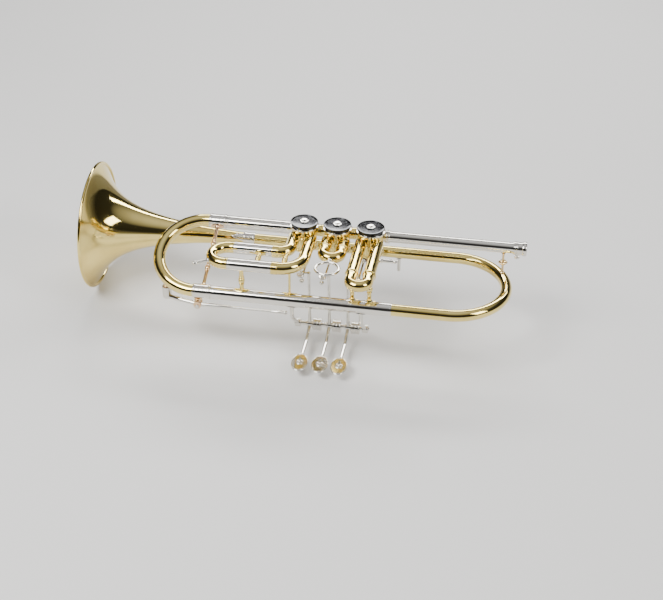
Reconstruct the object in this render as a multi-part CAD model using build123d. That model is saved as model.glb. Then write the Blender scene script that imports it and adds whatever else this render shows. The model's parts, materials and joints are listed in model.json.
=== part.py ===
"""A B-flat trumpet with three rotary valves, one STEP file for each piece.

Millimetres, +Z up.  The origin is the middle of the mouthpiece receiver's mouth, +X
points out of it at the player, and the bell opens towards -X.  The valve axes are
vertical with their caps up, and the slides and finger plates are on the -Y side.
"""
from math import asin, cos, degrees, hypot, radians, sin, sqrt
import os

from build123d import *

# ---- driving dimensions: the main tubing
TUBE_OD = 11.6
TUBE_BORE = 10.4
SLEEVE_OD = 13.0
FIT = 0.05                 # radial running fit of a slide in its sleeve, and of a rotor
BRANCH_Z = -35.0           # the bell branch lies flat, this far below the valves' middle
BELL_Y = 28.4
NEAR_Y = -78.0             # the lower main tube, nearest the player's fingers
RIGHT_BOW_X = -69.5
LEFT_BOW_X = -320.0
BRANCH_JOINT_X = -123.0    # where the brass branch enters the lower main sleeve

# ---- bell
RIM_X = -449.5
RIM_R = 65.0
FLARE = 29.3               # the flare is a hyperbola: r = (RIM_R + SINK) * FLARE / (d + FLARE) - SINK
SINK = 5.0
BELL_LENGTH = 161.0
BELL_WALL = 0.8
RIM_WIRE_R = 1.7

# ---- valves
PITCH = 33.5
VALVE_X = [-154.5, -154.5 - PITCH, -154.5 - 2 * PITCH]
VALVE_Y = -8.4
PORT = 8.4                 # sideways offset of every port from its valve's axis
CASING_R = 13.4
CASING_BORE_R = 12.0
CASING_TOP = 9.0
CASING_FOOT = -15.0
ROTOR_R = CASING_BORE_R - FIT
ROTOR_TOP = 6.0
ROTOR_FOOT = -11.5
CAP_R = 13.65
CAP_TOP = 14.2
STEM_R = 3.0
PASSAGE_R = 4.4

# ---- valve slides
LOOP_SLEEVE_OD = 12.0
LOOP_LEG_OD = 10.8
LOOP_BORE = 9.8
FIRST_SLEEVE_Y = -77.0
FIRST_BOW_Y = -87.0
SECOND_SLEEVE_Y = -34.0
SECOND_BOW_Y = -41.5
RING_Y = -70.0
RING_R = 11.4
RING_WIRE_R = 1.5
THIRD_FAR_Y = -47.7
THIRD_SLEEVE_X = -288.0
THIRD_FAR_ELBOW_R = 10.0
THIRD_NEAR_ELBOW_R = 22.0
THIRD_PIN_TIP = (-27.7, -19.7)   # from the middle of the third slide's bow

# ---- main tuning slide
MAIN_FERRULE = 18.0
MAIN_FERRULE_OD = 14.6
UPPER_LEG = 70.0
LOWER_LEG = 117.0
KEY_PIVOT_X = -315.8
KEY_PIVOT_Z = BRANCH_Z - 15.5
KEY_TIP_X = -228.0
KEY_SEAT_TURN = 45.0       # degrees round the bow from the lower leg
KEY_ARM = 26.0             # how far past its pivot the key's thick part runs

# ---- mouthpipe, stays and hooks
MOUTHPIPE_OD = 11.0
RECEIVER = 14.0
RECEIVER_OD = 13.0
SHANK_DEPTH = 24.0         # how far in a mouthpiece's shank goes
SHANK_BORE = 9.8
SCREW_X = -9.0
STAY_X = -271.0
PLAIN_STAY = (-224.0, -75.4)
GAP_STAY_X = [-257.3, -231.0]
HOOK_Y = -46.0
HOOK_TIP_X = -123.0
HAND_HOOK_X = -129.5
HAND_HOOK_DROP = 22.0

# ---- finger levers
LEVER_X = [-170.4, -189.4, -209.4]
LEVER_PIN_X = [-161.3, -196.6, -216.7]
LEVER_ARM = 60.0
CRANK = 8.0                # radius of the pin on each stop arm
LINK_Z = -23.3
SHAFT_Z = LINK_Z - LEVER_ARM
SHAFT_Y = -44.6
SHAFT_R = 2.0
HUB_R = 3.6
HUB_LENGTH = 6.0
PLATE_REACH = 58.0
PLATE_LONG = 26.0
PLATE_WIDE = 17.0
PIN_R = 1.1
LEVER_SWING = 2 * degrees(asin(CRANK * sin(radians(45)) / LEVER_ARM))

bow_r = hypot(NEAR_Y, BRANCH_Z) / 2
right_bow_r = (BELL_Y - NEAR_Y) / 2
os.makedirs("parts", exist_ok=True)


def save(name, *solids):
    """Write one node, made of one solid or a group of separate ones."""
    shape = solids[0] if len(solids) == 1 else Compound(children=list(solids))
    export_step(shape, f"parts/{name}.step")
    return shape


def route(*edges):
    """A path from edges that already meet end to end."""
    return Wire(list(edges))


def bent(points, radius):
    """A path of straight runs with tangent arcs at its corners."""
    return FilletPolyline(*points, radius=radius)


def rod(path, diameter):
    """A solid round bar along a path."""
    section = Plane(origin=path @ 0, z_dir=path % 0) * Circle(diameter / 2)
    return sweep(section, path=path)


def pipe(path, outer, bore):
    """A hollow round tube along a path."""
    section = Circle(outer / 2) - Circle(bore / 2)
    return sweep(Plane(origin=path @ 0, z_dir=path % 0) * section, path=path)


def straight(start, end, outer, bore=0.0):
    """A straight round bar or tube between two points."""
    section = Circle(outer / 2)
    if bore:
        section -= Circle(bore / 2)
    reach = Vector(*end) - Vector(*start)
    return extrude(Plane(origin=start, z_dir=reach) * section, reach.length)


def drum(centre, radius, low, high, bore=0.0):
    """An upright cylinder or ring between two heights."""
    x, y = centre
    return straight((x, y, low), (x, y, high), 2 * radius, 2 * bore)


def half_circle(start, end, bulge):
    """The path of a bow from start to end that bulges to the given side."""
    middle = (Vector(*start) + Vector(*end)) / 2
    reach = (Vector(*end) - Vector(*start)).length / 2
    return route(ThreePointArc(start, middle + Vector(*bulge) * reach, end))


def stay(start, end, bar=3.8, bead=6.6):
    """A turned stay: a thin bar, a bead at its middle and a flared foot at each end."""
    low = Vector(*start)
    high = Vector(*end)
    along = (high - low).normalized()
    span = (high - low).length
    middle = low + along * (span / 2)
    foot = min(span / 5, 3.0)
    shape = straight(start, end, bar)
    shape += Pos(*middle) * Sphere(bead / 2)
    for place, way in ((low, along), (high, along * -1)):
        shape += Plane(origin=place, z_dir=way) * Pos(0, 0, foot / 2) * Cone(bead / 2, bar / 2, foot)
    return shape


def bell_radius(depth):
    return (RIM_R + SINK) * FLARE / (depth + FLARE) - SINK


def bell_outline(step):
    """The bell's wall at a step from 0 at the rim to 1 at the tail, outside and inside."""
    depth = BELL_LENGTH * step ** 2
    slope = -(RIM_R + SINK) * FLARE / (depth + FLARE) ** 2
    lean = sqrt(1 + slope ** 2)
    outside = (RIM_X + depth, bell_radius(depth))
    inside = (RIM_X + depth + BELL_WALL * slope / lean, outside[1] - BELL_WALL / lean)
    return outside, inside


# ---- bell, rim wire, branch and the ferrule between them
walls = [bell_outline(k / 12) for k in range(13)]
outer_wall = Spline(*[outside for outside, _ in walls])
inner_wall = Spline(*[inside for _, inside in walls])
wall_section = make_face([outer_wall, inner_wall, Line(outer_wall @ 0, inner_wall @ 0),
                          Line(outer_wall @ 1, inner_wall @ 1)])
bell = Pos(0, BELL_Y, BRANCH_Z) * revolve(wall_section, Axis.X)
to_bell = Pos(RIM_X, BELL_Y, BRANCH_Z) * Rot(0, 90, 0)
rim_wire = to_bell * Torus(RIM_R, RIM_WIRE_R) - bell
tail_x = RIM_X + BELL_LENGTH
branch_path = route(
    Line((tail_x, BELL_Y, BRANCH_Z), (RIGHT_BOW_X, BELL_Y, BRANCH_Z)),
    ThreePointArc((RIGHT_BOW_X, BELL_Y, BRANCH_Z),
                  (RIGHT_BOW_X + right_bow_r, BELL_Y - right_bow_r, BRANCH_Z),
                  (RIGHT_BOW_X, NEAR_Y, BRANCH_Z)),
    Line((RIGHT_BOW_X, NEAR_Y, BRANCH_Z), (BRANCH_JOINT_X - 8, NEAR_Y, BRANCH_Z)),
)
branch = pipe(branch_path, TUBE_OD, TUBE_BORE)
ferrule = straight((tail_x - 8.5, BELL_Y, BRANCH_Z), (tail_x + 8.5, BELL_Y, BRANCH_Z), 13.8, 11.2)
save("bell", bell)
save("bell_rim_wire", rim_wire)
save("bell_branch", branch)
joint = straight((tail_x - 0.5, BELL_Y, BRANCH_Z), (tail_x + 0.5, BELL_Y, BRANCH_Z), TUBE_OD)
save("bell_ferrule", ferrule - bell - branch - joint)

# ---- mouthpipe and mouthpiece receiver; bodies are the casings' full outsides, to trim tubes by
bodies = [drum((x, VALVE_Y), CASING_R, CASING_FOOT, CASING_TOP) for x in VALVE_X]
mouthpipe = straight((VALVE_X[0] + PORT, 0, 0), (-RECEIVER + 4, 0, 0), MOUTHPIPE_OD, 9.2)
mouthpipe -= straight((-SHANK_DEPTH, 0, 0), (0, 0, 0), SHANK_BORE)
save("mouthpipe", mouthpipe - bodies[0])
collar = straight((VALVE_X[0] + 12.4, 0, 0), (VALVE_X[0] + 18, 0, 0), 13.4, MOUTHPIPE_OD)
collar -= bodies[0]
receiver = straight((-RECEIVER, 0, 0), (0, 0, 0), RECEIVER_OD, SHANK_BORE)
receiver -= straight((-RECEIVER, 0, 0), (-RECEIVER + 4, 0, 0), MOUTHPIPE_OD)
receiver += straight((-3, 0, 0), (0, 0, 0), 14.6, SHANK_BORE)
save("mouthpiece_receiver", receiver, collar)
screw = straight((SCREW_X, 0, -6.4), (SCREW_X, 0, -9), 3.0)
screw += straight((SCREW_X, 0, -9), (SCREW_X, 0, -11), 5.2)
save("receiver_screw", screw - straight((-RECEIVER, 0, 0), (0, 0, 0), RECEIVER_OD))

# ---- valves: casing, rings, bearings, cap, rotor and stop arm
sides = [-1, -1, 1]        # which side of its valve each stop arm's pin is on
casings, rings, plates, caps, hubs, corks = [], [], [], [], [], []
for number, (x, side) in enumerate(zip(VALVE_X, sides), start=1):
    here = (x, VALVE_Y)
    casing = drum(here, CASING_R, CASING_FOOT, CASING_TOP, CASING_BORE_R)
    casing -= straight((x - 20, VALVE_Y + PORT, 0), (x + 20, VALVE_Y + PORT, 0), TUBE_BORE)
    for way in (-1, 1):
        port_x = x + way * PORT
        casing -= straight((port_x, VALVE_Y, 0), (port_x, VALVE_Y - 20, 0), LOOP_BORE)
    casings.append(casing)
    rings.append(drum(here, 14.5, CASING_TOP, CASING_TOP + 1.8, CASING_BORE_R))
    plates.append(drum(here, CASING_BORE_R, ROTOR_TOP + 0.4, CASING_TOP, STEM_R + FIT))
    rear = drum(here, CASING_BORE_R, CASING_FOOT, ROTOR_FOOT - 0.4, STEM_R + FIT)
    plates.append(rear + drum(here, 5.0, CASING_FOOT - 2, CASING_FOOT, STEM_R + FIT))
    cap = drum(here, CAP_R, CASING_TOP + 1.8, CAP_TOP)
    caps.append(cap - drum(here, 10.5, CASING_TOP + 1.8, CAP_TOP - 1.6))
    hub = drum(here, 3.2, CAP_TOP, CAP_TOP + 1.6)
    hubs.append(hub - Pos(x, VALVE_Y, CAP_TOP + 1.6) * Box(7, 0.9, 1.2))

    rotor = drum(here, ROTOR_R, ROTOR_FOOT, ROTOR_TOP)
    rotor += drum(here, STEM_R, ROTOR_TOP, CASING_TOP + 0.8)
    rotor += drum(here, STEM_R, LINK_Z + 1.8, ROTOR_FOOT)
    for way in (-1, 1):
        bend = Pos(x, VALVE_Y + way * ROTOR_R * sqrt(2), 0) * Torus(ROTOR_R, PASSAGE_R)
        rotor -= bend
    save(f"rotor_{number}", rotor)

    turn = -45 if side > 0 else 225
    pin_x = x + CRANK * cos(radians(turn))
    pin_y = VALVE_Y + CRANK * sin(radians(turn))
    arm = Pos(x, VALVE_Y, LINK_Z + 3.05) * Rot(0, 0, turn) * Pos(CRANK / 2, 0, 0) * Box(CRANK, 4.6, 2.5)
    arm += drum(here, 5.0, LINK_Z + 1.8, LINK_Z + 4.3)
    arm += drum((pin_x, pin_y), 2.3, LINK_Z + 1.8, LINK_Z + 4.3)
    arm += drum((pin_x, pin_y), PIN_R, LINK_Z - 2.2, LINK_Z + 1.8)
    arm -= drum(here, STEM_R, LINK_Z + 1.8, LINK_Z + 4.3)
    save(f"stop_arm_{number}", arm)
    for way in (-1, 1):
        angle = radians(way * 79)
        cork = (x + side * CRANK * cos(angle), VALVE_Y + CRANK * sin(angle))
        corks.append(drum(cork, 1.7, LINK_Z + 1.9, CASING_FOOT))
save("casings", *casings)
save("casing_rings", *rings)
save("bearing_plates", *plates)
save("valve_caps", *caps)
save("cap_hubs", *hubs)
save("stop_corks", *corks)

knuckles = []
for left, right in ((1, 0), (2, 1)):
    link_tube = straight((VALVE_X[left] + 7, 0, 0), (VALVE_X[right] - 7, 0, 0), 12.4, TUBE_BORE)
    knuckles.append(link_tube - bodies[left] - bodies[right])
save("valve_knuckles", *knuckles)

# ---- outer sleeves of the main slide
sleeve_end = LEFT_BOW_X + MAIN_FERRULE
inner_od = SLEEVE_OD - 1.2
upper_sleeve = straight((sleeve_end, 0, 0), (VALVE_X[2] - 7, 0, 0), SLEEVE_OD, inner_od + 2 * FIT)
save("upper_main_sleeve", upper_sleeve - bodies[2])
lower_sleeve = straight((sleeve_end, NEAR_Y, BRANCH_Z), (BRANCH_JOINT_X, NEAR_Y, BRANCH_Z),
                        SLEEVE_OD, inner_od + 2 * FIT)
save("lower_main_sleeve", lower_sleeve)

# ---- main tuning slide: legs, ferrules, bow, cross brace
upper_end = (LEFT_BOW_X, 0, 0)
lower_end = (LEFT_BOW_X, NEAR_Y, BRANCH_Z)
legs = [straight(upper_end, (sleeve_end + UPPER_LEG - MAIN_FERRULE, 0, 0), inner_od, TUBE_BORE),
        straight(lower_end, (sleeve_end + LOWER_LEG - MAIN_FERRULE, NEAR_Y, BRANCH_Z), inner_od, TUBE_BORE)]
save("main_slide_legs", *legs)
ferrules = []
for x, y, z in (upper_end, lower_end):
    shell = straight((x, y, z), (x + MAIN_FERRULE - 0.4, y, z), MAIN_FERRULE_OD - 1, inner_od)
    shell += straight((x + 2.5, y, z), (x + MAIN_FERRULE - 4, y, z), MAIN_FERRULE_OD, inner_od)
    ferrules.append(shell)
save("main_slide_ferrules", *ferrules)
bow_od = 12.4
main_path = half_circle(upper_end, lower_end, (-1, 0, 0))
save("main_slide_bow", pipe(main_path, bow_od, TUBE_BORE))
cross_x = LEFT_BOW_X + MAIN_FERRULE / 2
slant = Vector(0, NEAR_Y, BRANCH_Z).normalized()
cross_top = Vector(cross_x, 0, 0) + slant * (MAIN_FERRULE_OD / 2 - 0.4)
cross_foot = Vector(cross_x, NEAR_Y, BRANCH_Z) - slant * (MAIN_FERRULE_OD / 2 - 0.4)
cross = stay(tuple(cross_top), tuple(cross_foot), 3.8, 6.6)
for share in (0.3, 0.7):
    place = cross_top + (cross_foot - cross_top) * share
    cross += Pos(*place) * Sphere(2.6)
save("main_slide_brace", cross - ferrules[0] - ferrules[1])

# ---- water key on the main slide
turn = radians(KEY_SEAT_TURN)
seat_x = LEFT_BOW_X - bow_r * sin(turn)
share = (1 + cos(turn)) / 2
seat_y = NEAR_Y * share
seat_z = BRANCH_Z * share
seat_foot = seat_z - bow_od / 2 - 3.4
seat = straight((seat_x, seat_y, seat_z - 4), (seat_x, seat_y, seat_foot), 6.0, 2.4)
seat += straight((seat_x, seat_y, seat_z - 4), (seat_x, seat_y, seat_z - bow_od / 2 - 1.2), 9.0, 2.4)
save("water_key_seat", seat - rod(main_path, bow_od))
post = straight((KEY_PIVOT_X, NEAR_Y, BRANCH_Z - 5), (KEY_PIVOT_X, NEAR_Y, KEY_PIVOT_Z + 3.8), 7.0)
for way in (-1, 1):
    post += Pos(KEY_PIVOT_X, NEAR_Y + way * 3.6, KEY_PIVOT_Z + 1.5) * Box(7.4, 1.6, 9)
post -= straight((LEFT_BOW_X - 5, NEAR_Y, BRANCH_Z), (LEFT_BOW_X + 20, NEAR_Y, BRANCH_Z), MAIN_FERRULE_OD)
post -= straight((KEY_PIVOT_X, NEAR_Y - 6, KEY_PIVOT_Z), (KEY_PIVOT_X, NEAR_Y + 6, KEY_PIVOT_Z), 2.0)
save("water_key_post", post)
save("water_key_pin", straight((KEY_PIVOT_X, NEAR_Y - 5.2, KEY_PIVOT_Z),
                               (KEY_PIVOT_X, NEAR_Y + 5.2, KEY_PIVOT_Z), 2.0))
cork_top = seat_foot - 0.2
cup_z = cork_top - 3.2
cork_pad = drum((seat_x, seat_y), 3.6, cork_top - 2.2, cork_top)
save("water_key_cork", cork_pad)
key = drum((seat_x, seat_y), 4.6, cup_z - 1.2, cork_top - 0.8) - cork_pad
key_path = bent([(seat_x, seat_y, cup_z), (seat_x + 14, NEAR_Y + 3, KEY_PIVOT_Z + 2),
                 (KEY_PIVOT_X, NEAR_Y, KEY_PIVOT_Z), (KEY_PIVOT_X + KEY_ARM, NEAR_Y, KEY_PIVOT_Z)], 10)
key += rod(key_path, 4.2) - cork_pad
key += straight((KEY_PIVOT_X + KEY_ARM, NEAR_Y, KEY_PIVOT_Z), (KEY_TIP_X, NEAR_Y, KEY_PIVOT_Z), 2.8)
key += straight((KEY_TIP_X - 10, NEAR_Y, KEY_PIVOT_Z), (KEY_TIP_X, NEAR_Y, KEY_PIVOT_Z), 3.6)
key += Pos(KEY_TIP_X, NEAR_Y, KEY_PIVOT_Z) * Sphere(2.2)
key += straight((KEY_PIVOT_X, NEAR_Y - 1.9, KEY_PIVOT_Z), (KEY_PIVOT_X, NEAR_Y + 1.9, KEY_PIVOT_Z), 6.6)
key -= straight((KEY_PIVOT_X, NEAR_Y - 3, KEY_PIVOT_Z), (KEY_PIVOT_X, NEAR_Y + 3, KEY_PIVOT_Z), 2.1)
save("water_key_lever", key)

# ---- first slide: two sleeves forward, a bow between them
first_sleeves, first_collars, first_legs = [], [], []
for way in (-1, 1):
    x = VALVE_X[0] + way * PORT
    sleeve = straight((x, VALVE_Y - 4, 0), (x, FIRST_SLEEVE_Y, 0), LOOP_SLEEVE_OD, LOOP_LEG_OD + 2 * FIT)
    first_sleeves.append(sleeve - bodies[0])
    first_collars.append(straight((x, FIRST_SLEEVE_Y + 3, 0), (x, FIRST_SLEEVE_Y, 0), 13.4, LOOP_SLEEVE_OD))
    first_legs.append(straight((x, VALVE_Y - 22, 0), (x, FIRST_BOW_Y, 0), LOOP_LEG_OD, LOOP_BORE))
save("first_sleeves", *first_sleeves)
save("first_slide_legs", *first_legs)
bow_ends = [(VALVE_X[0] + way * PORT, FIRST_BOW_Y, 0) for way in (1, -1)]
grips = []
for x, y, z in bow_ends:
    grips.append(straight((x, y, z), (x, FIRST_SLEEVE_Y - 0.4, z), LOOP_SLEEVE_OD, LOOP_LEG_OD))
first_path = half_circle(bow_ends[0], bow_ends[1], (0, -1, 0))
save("first_slide_bow", pipe(first_path, LOOP_SLEEVE_OD, LOOP_BORE), *grips)
knob_y = FIRST_BOW_Y - PORT + LOOP_SLEEVE_OD / 2
save("first_slide_knob", Pos(VALVE_X[0], knob_y + 2.2, 0) * Sphere(2.3)
     + straight((VALVE_X[0], knob_y + 1, 0), (VALVE_X[0], knob_y - 3.0, 0), 2.6)
     - rod(first_path, LOOP_SLEEVE_OD))

# ---- second slide: short, with its pull ring
second_sleeves, second_legs = [], []
for way in (-1, 1):
    x = VALVE_X[1] + way * PORT
    sleeve = straight((x, VALVE_Y - 4, 0), (x, SECOND_SLEEVE_Y, 0), LOOP_SLEEVE_OD, LOOP_LEG_OD + 2 * FIT)
    second_sleeves.append(sleeve - bodies[1])
    second_legs.append(straight((x, VALVE_Y - 14, 0), (x, SECOND_BOW_Y, 0), LOOP_LEG_OD, LOOP_BORE))
save("second_sleeves", *second_sleeves)
save("second_slide_legs", *second_legs)
second_ends = [(VALVE_X[1] + way * PORT, SECOND_BOW_Y, 0) for way in (1, -1)]
grips = []
for x, y, z in second_ends:
    grips.append(straight((x, y, z), (x, SECOND_SLEEVE_Y - 0.4, z), LOOP_SLEEVE_OD, LOOP_LEG_OD))
second_path = half_circle(second_ends[0], second_ends[1], (0, -1, 0))
save("second_slide_bow", pipe(second_path, LOOP_SLEEVE_OD, LOOP_BORE), *grips)
ring = Pos(VALVE_X[1], RING_Y, 0) * Torus(RING_R, RING_WIRE_R)
ring += straight((VALVE_X[1], RING_Y + RING_R - 0.6, 0), (VALVE_X[1], SECOND_BOW_Y - PORT - 3, 0), 4.0)
save("second_slide_ring", ring - rod(second_path, LOOP_SLEEVE_OD))

# ---- third slide: elbows round to sleeves that run towards the bell
near_port = (VALVE_X[2] + PORT, VALVE_Y - 4, 0)
far_port = (VALVE_X[2] - PORT, VALVE_Y - 4, 0)
near_turn = VALVE_X[2] + PORT - THIRD_NEAR_ELBOW_R
far_turn = VALVE_X[2] - PORT - THIRD_FAR_ELBOW_R
near_elbow = pipe(bent([near_port, (VALVE_X[2] + PORT, NEAR_Y, 0), (near_turn - 2, NEAR_Y, 0)],
                       THIRD_NEAR_ELBOW_R), LOOP_SLEEVE_OD, LOOP_BORE)
far_elbow = pipe(bent([far_port, (VALVE_X[2] - PORT, THIRD_FAR_Y, 0), (far_turn - 2, THIRD_FAR_Y, 0)],
                      THIRD_FAR_ELBOW_R), LOOP_SLEEVE_OD, LOOP_BORE)
save("third_elbows", near_elbow - bodies[2], far_elbow - bodies[2])
third_sleeves, third_legs, third_collars = [], [], []
for y, turn_x in ((NEAR_Y, near_turn), (THIRD_FAR_Y, far_turn)):
    third_sleeves.append(straight((THIRD_SLEEVE_X + 4, y, 0), (turn_x - 2, y, 0), LOOP_SLEEVE_OD,
                                  LOOP_LEG_OD + 2 * FIT))
    third_collars.append(straight((turn_x - 6, y, 0), (turn_x, y, 0), 12.8, LOOP_SLEEVE_OD))
    third_legs.append(straight((THIRD_SLEEVE_X, y, 0), (turn_x - 4, y, 0), LOOP_LEG_OD, LOOP_BORE))
save("third_sleeves", *third_sleeves)
save("sleeve_collars", *first_collars, *third_collars)
save("third_slide_legs", *third_legs)
third_ends = [(THIRD_SLEEVE_X, THIRD_FAR_Y, 0), (THIRD_SLEEVE_X, NEAR_Y, 0)]
grips = []
for x, y, z in third_ends:
    grips.append(straight((x, y, z), (x + 3.6, y, z), LOOP_SLEEVE_OD, LOOP_LEG_OD))
third_path = half_circle(third_ends[0], third_ends[1], (-1, 0, 0))
save("third_slide_bow", pipe(third_path, LOOP_SLEEVE_OD, LOOP_BORE), *grips)
bow_middle = Vector(THIRD_SLEEVE_X, (THIRD_FAR_Y + NEAR_Y) / 2, 0)
pin_reach = Vector(*THIRD_PIN_TIP, 0)
pin_foot = bow_middle + pin_reach.normalized() * ((THIRD_FAR_Y - NEAR_Y) / 2 + LOOP_SLEEVE_OD / 2)
pin_tip = bow_middle + pin_reach
pin_end = Plane(origin=pin_tip, z_dir=pin_reach) * Sphere(2.3)
save("third_slide_pin", straight(tuple(pin_foot), tuple(pin_tip), 3.4) + pin_end)

# ---- stays and hooks
touch = LOOP_SLEEVE_OD / 2 - 0.3
sleeve_top = BRANCH_Z + SLEEVE_OD / 2
near_bar = rod(bent([near_port, (VALVE_X[2] + PORT, NEAR_Y, 0), (THIRD_SLEEVE_X + 4, NEAR_Y, 0)],
                    THIRD_NEAR_ELBOW_R), LOOP_SLEEVE_OD)
far_bar = rod(bent([far_port, (VALVE_X[2] - PORT, THIRD_FAR_Y, 0), (THIRD_SLEEVE_X + 4, THIRD_FAR_Y, 0)],
                   THIRD_FAR_ELBOW_R), LOOP_SLEEVE_OD)
lower_bar = straight((sleeve_end, NEAR_Y, BRANCH_Z), (BRANCH_JOINT_X, NEAR_Y, BRANCH_Z), SLEEVE_OD)
turned = stay((STAY_X, NEAR_Y, -touch), (STAY_X, NEAR_Y, sleeve_top - 1.2))
plain_x, plain_y = PLAIN_STAY
plain = straight((plain_x, plain_y, -touch), (plain_x, plain_y, sleeve_top - 1.2), 2.6)
stays = [turned - near_bar - lower_bar, plain - near_bar - lower_bar]
for way in (-1, 1):
    x = VALVE_X[0] + way * PORT
    sleeve_bar = straight((x, VALVE_Y - 15, 0), (x, FIRST_SLEEVE_Y, 0), LOOP_SLEEVE_OD)
    post_y = FIRST_SLEEVE_Y + 6.2
    foot = stay((x, post_y, -touch), (x, post_y, sleeve_top - 2.4))
    stays.append(foot - sleeve_bar - lower_bar)
for x in GAP_STAY_X:
    across = stay((x, THIRD_FAR_Y - 2, 0), (x, NEAR_Y + touch, 0), 3.2, 6.0)
    stays.append(across - near_bar - far_bar)
save("slide_stays", *stays)

brace_x = RIGHT_BOW_X + sqrt(right_bow_r ** 2 - (BELL_Y - right_bow_r) ** 2)
brace_high = -MOUTHPIPE_OD / 2
brace_low = BRANCH_Z + TUBE_OD / 2
button_z = (brace_high + brace_low) / 2
bow_brace = drum((brace_x, 0), 1.3, brace_low, brace_high)
bow_brace += drum((brace_x, 0), 4.6, button_z - 1.1, button_z + 1.1)
bow_brace += drum((brace_x, 0), 2.8, button_z - 2.6, button_z + 2.6)
save("bow_brace", bow_brace)

hook_root = VALVE_X[0] + PORT + LOOP_SLEEVE_OD / 2
hook = straight((hook_root - 0.8, HOOK_Y, 0), (HOOK_TIP_X, HOOK_Y, 0), 3.6)
hook += Pos(hook_root + 1.2, HOOK_Y, 0) * Sphere(2.8)
hook -= straight((VALVE_X[0] + PORT, VALVE_Y - 15, 0), (VALVE_X[0] + PORT, FIRST_SLEEVE_Y, 0), LOOP_SLEEVE_OD)
branch_foot = BRANCH_Z - TUBE_OD / 2
hand_hook = straight((HAND_HOOK_X, BELL_Y, branch_foot + 0.8),
                     (HAND_HOOK_X, BELL_Y, BRANCH_Z - HAND_HOOK_DROP), 3.6)
hand_hook += Pos(HAND_HOOK_X, BELL_Y, branch_foot - 0.4) * Box(9, 5, 1.6)
hand_hook -= straight((HAND_HOOK_X - 20, BELL_Y, BRANCH_Z), (HAND_HOOK_X + 20, BELL_Y, BRANCH_Z), TUBE_OD)
save("hooks", hook, hand_hook)

# ---- finger levers on their shaft, spring barrels and brackets
bracket_x = [LEVER_X[2] - 12.0, LEVER_X[0] + 17.5]
save("lever_shaft", straight((bracket_x[0] - 4, SHAFT_Y, SHAFT_Z), (bracket_x[1] + 4, SHAFT_Y, SHAFT_Z),
                             2 * SHAFT_R))
brackets = []
for x in bracket_x:
    arm_path = bent([(x, NEAR_Y, BRANCH_Z - 4), (x, NEAR_Y, BRANCH_Z - 20), (x, SHAFT_Y, SHAFT_Z)], 14)
    bracket = rod(arm_path, 4.4)
    bracket += straight((x, NEAR_Y, BRANCH_Z - 5), (x, NEAR_Y, BRANCH_Z - 8.5), 10.0)
    bracket += straight((x - 3, SHAFT_Y, SHAFT_Z), (x + 3, SHAFT_Y, SHAFT_Z), 8.4)
    bracket -= straight((x - 4, SHAFT_Y, SHAFT_Z), (x + 4, SHAFT_Y, SHAFT_Z), 2 * SHAFT_R)
    brackets.append(bracket - lower_bar)
save("shaft_brackets", *brackets)
barrels = []
for x in LEVER_X:
    low = x + HUB_LENGTH / 2 + 0.5
    barrels.append(straight((low, SHAFT_Y, SHAFT_Z), (low + 8.5, SHAFT_Y, SHAFT_Z), 13.0, 2 * SHAFT_R))
save("spring_barrels", *barrels)

shaft_axis = Axis((0, SHAFT_Y, SHAFT_Z), (1, 0, 0))
bulge = CRANK * (1 - cos(radians(45)))
for number, (x, valve_x, pin_x, side) in enumerate(zip(LEVER_X, VALVE_X, LEVER_PIN_X, sides), start=1):
    top_z = LINK_Z + 4.0
    lever = straight((x - HUB_LENGTH / 2, SHAFT_Y, SHAFT_Z), (x + HUB_LENGTH / 2, SHAFT_Y, SHAFT_Z),
                     2 * HUB_R)
    lever += straight((x, SHAFT_Y, SHAFT_Z), (x, SHAFT_Y, top_z), 3.0)
    lever += Pos((x + pin_x) / 2, SHAFT_Y, top_z) * Box(abs(pin_x - x) + 3.4, 3.4, 2.2)
    lever += straight((pin_x, SHAFT_Y, top_z), (pin_x, SHAFT_Y, LINK_Z - 5.4), 2 * PIN_R)
    lever += Pos(pin_x, SHAFT_Y, LINK_Z - 6.4) * Sphere(2.4)
    neck = bent([(x, SHAFT_Y, SHAFT_Z), (x, SHAFT_Y - 20, SHAFT_Z - 6), (x, SHAFT_Y - 44, SHAFT_Z - 4),
                 (x, SHAFT_Y - PLATE_REACH, SHAFT_Z - 1.8)], 18)
    lever += rod(neck, 3.6)
    lever -= straight((x - 9, SHAFT_Y, SHAFT_Z), (x + 9, SHAFT_Y, SHAFT_Z), 2 * (SHAFT_R + FIT))
    save(f"lever_{number}", lever.rotate(shaft_axis, LEVER_SWING / 2))

    plate = Pos(x, SHAFT_Y - PLATE_REACH, SHAFT_Z - 3.2) * extrude(
        Ellipse(PLATE_WIDE / 2, PLATE_LONG / 2), 2.0)
    plate = fillet(plate.edges(), 0.8) - rod(neck, 3.6)
    save(f"finger_plate_{number}", plate.rotate(shaft_axis, LEVER_SWING / 2))

    crank_x = valve_x + side * CRANK * cos(radians(45))
    crank_y = VALVE_Y - CRANK * sin(radians(45))
    eye_x = pin_x - side * bulge / 2
    eye_y = SHAFT_Y - LEVER_ARM * sin(radians(LEVER_SWING / 2))
    slot = bulge + 2 * PIN_R + 1.2
    link = straight((crank_x, crank_y - 2.2, LINK_Z), (crank_x, eye_y + 2.2, LINK_Z), 2.4)
    link += drum((crank_x, crank_y), 2.4, LINK_Z - 1.3, LINK_Z + 1.3)
    eye = SlotOverall(slot + 1.8, 2 * PIN_R + 3.4) - SlotOverall(slot, 2 * PIN_R + 1.6)
    link += Pos(eye_x, eye_y, LINK_Z - 1.3) * extrude(eye, 2.6)
    link -= drum((crank_x, crank_y), PIN_R + 0.1, LINK_Z - 2, LINK_Z + 2)
    save(f"link_{number}", link)

print("lever swing", round(LEVER_SWING, 3), "main bow radius", round(bow_r, 2))
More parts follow.
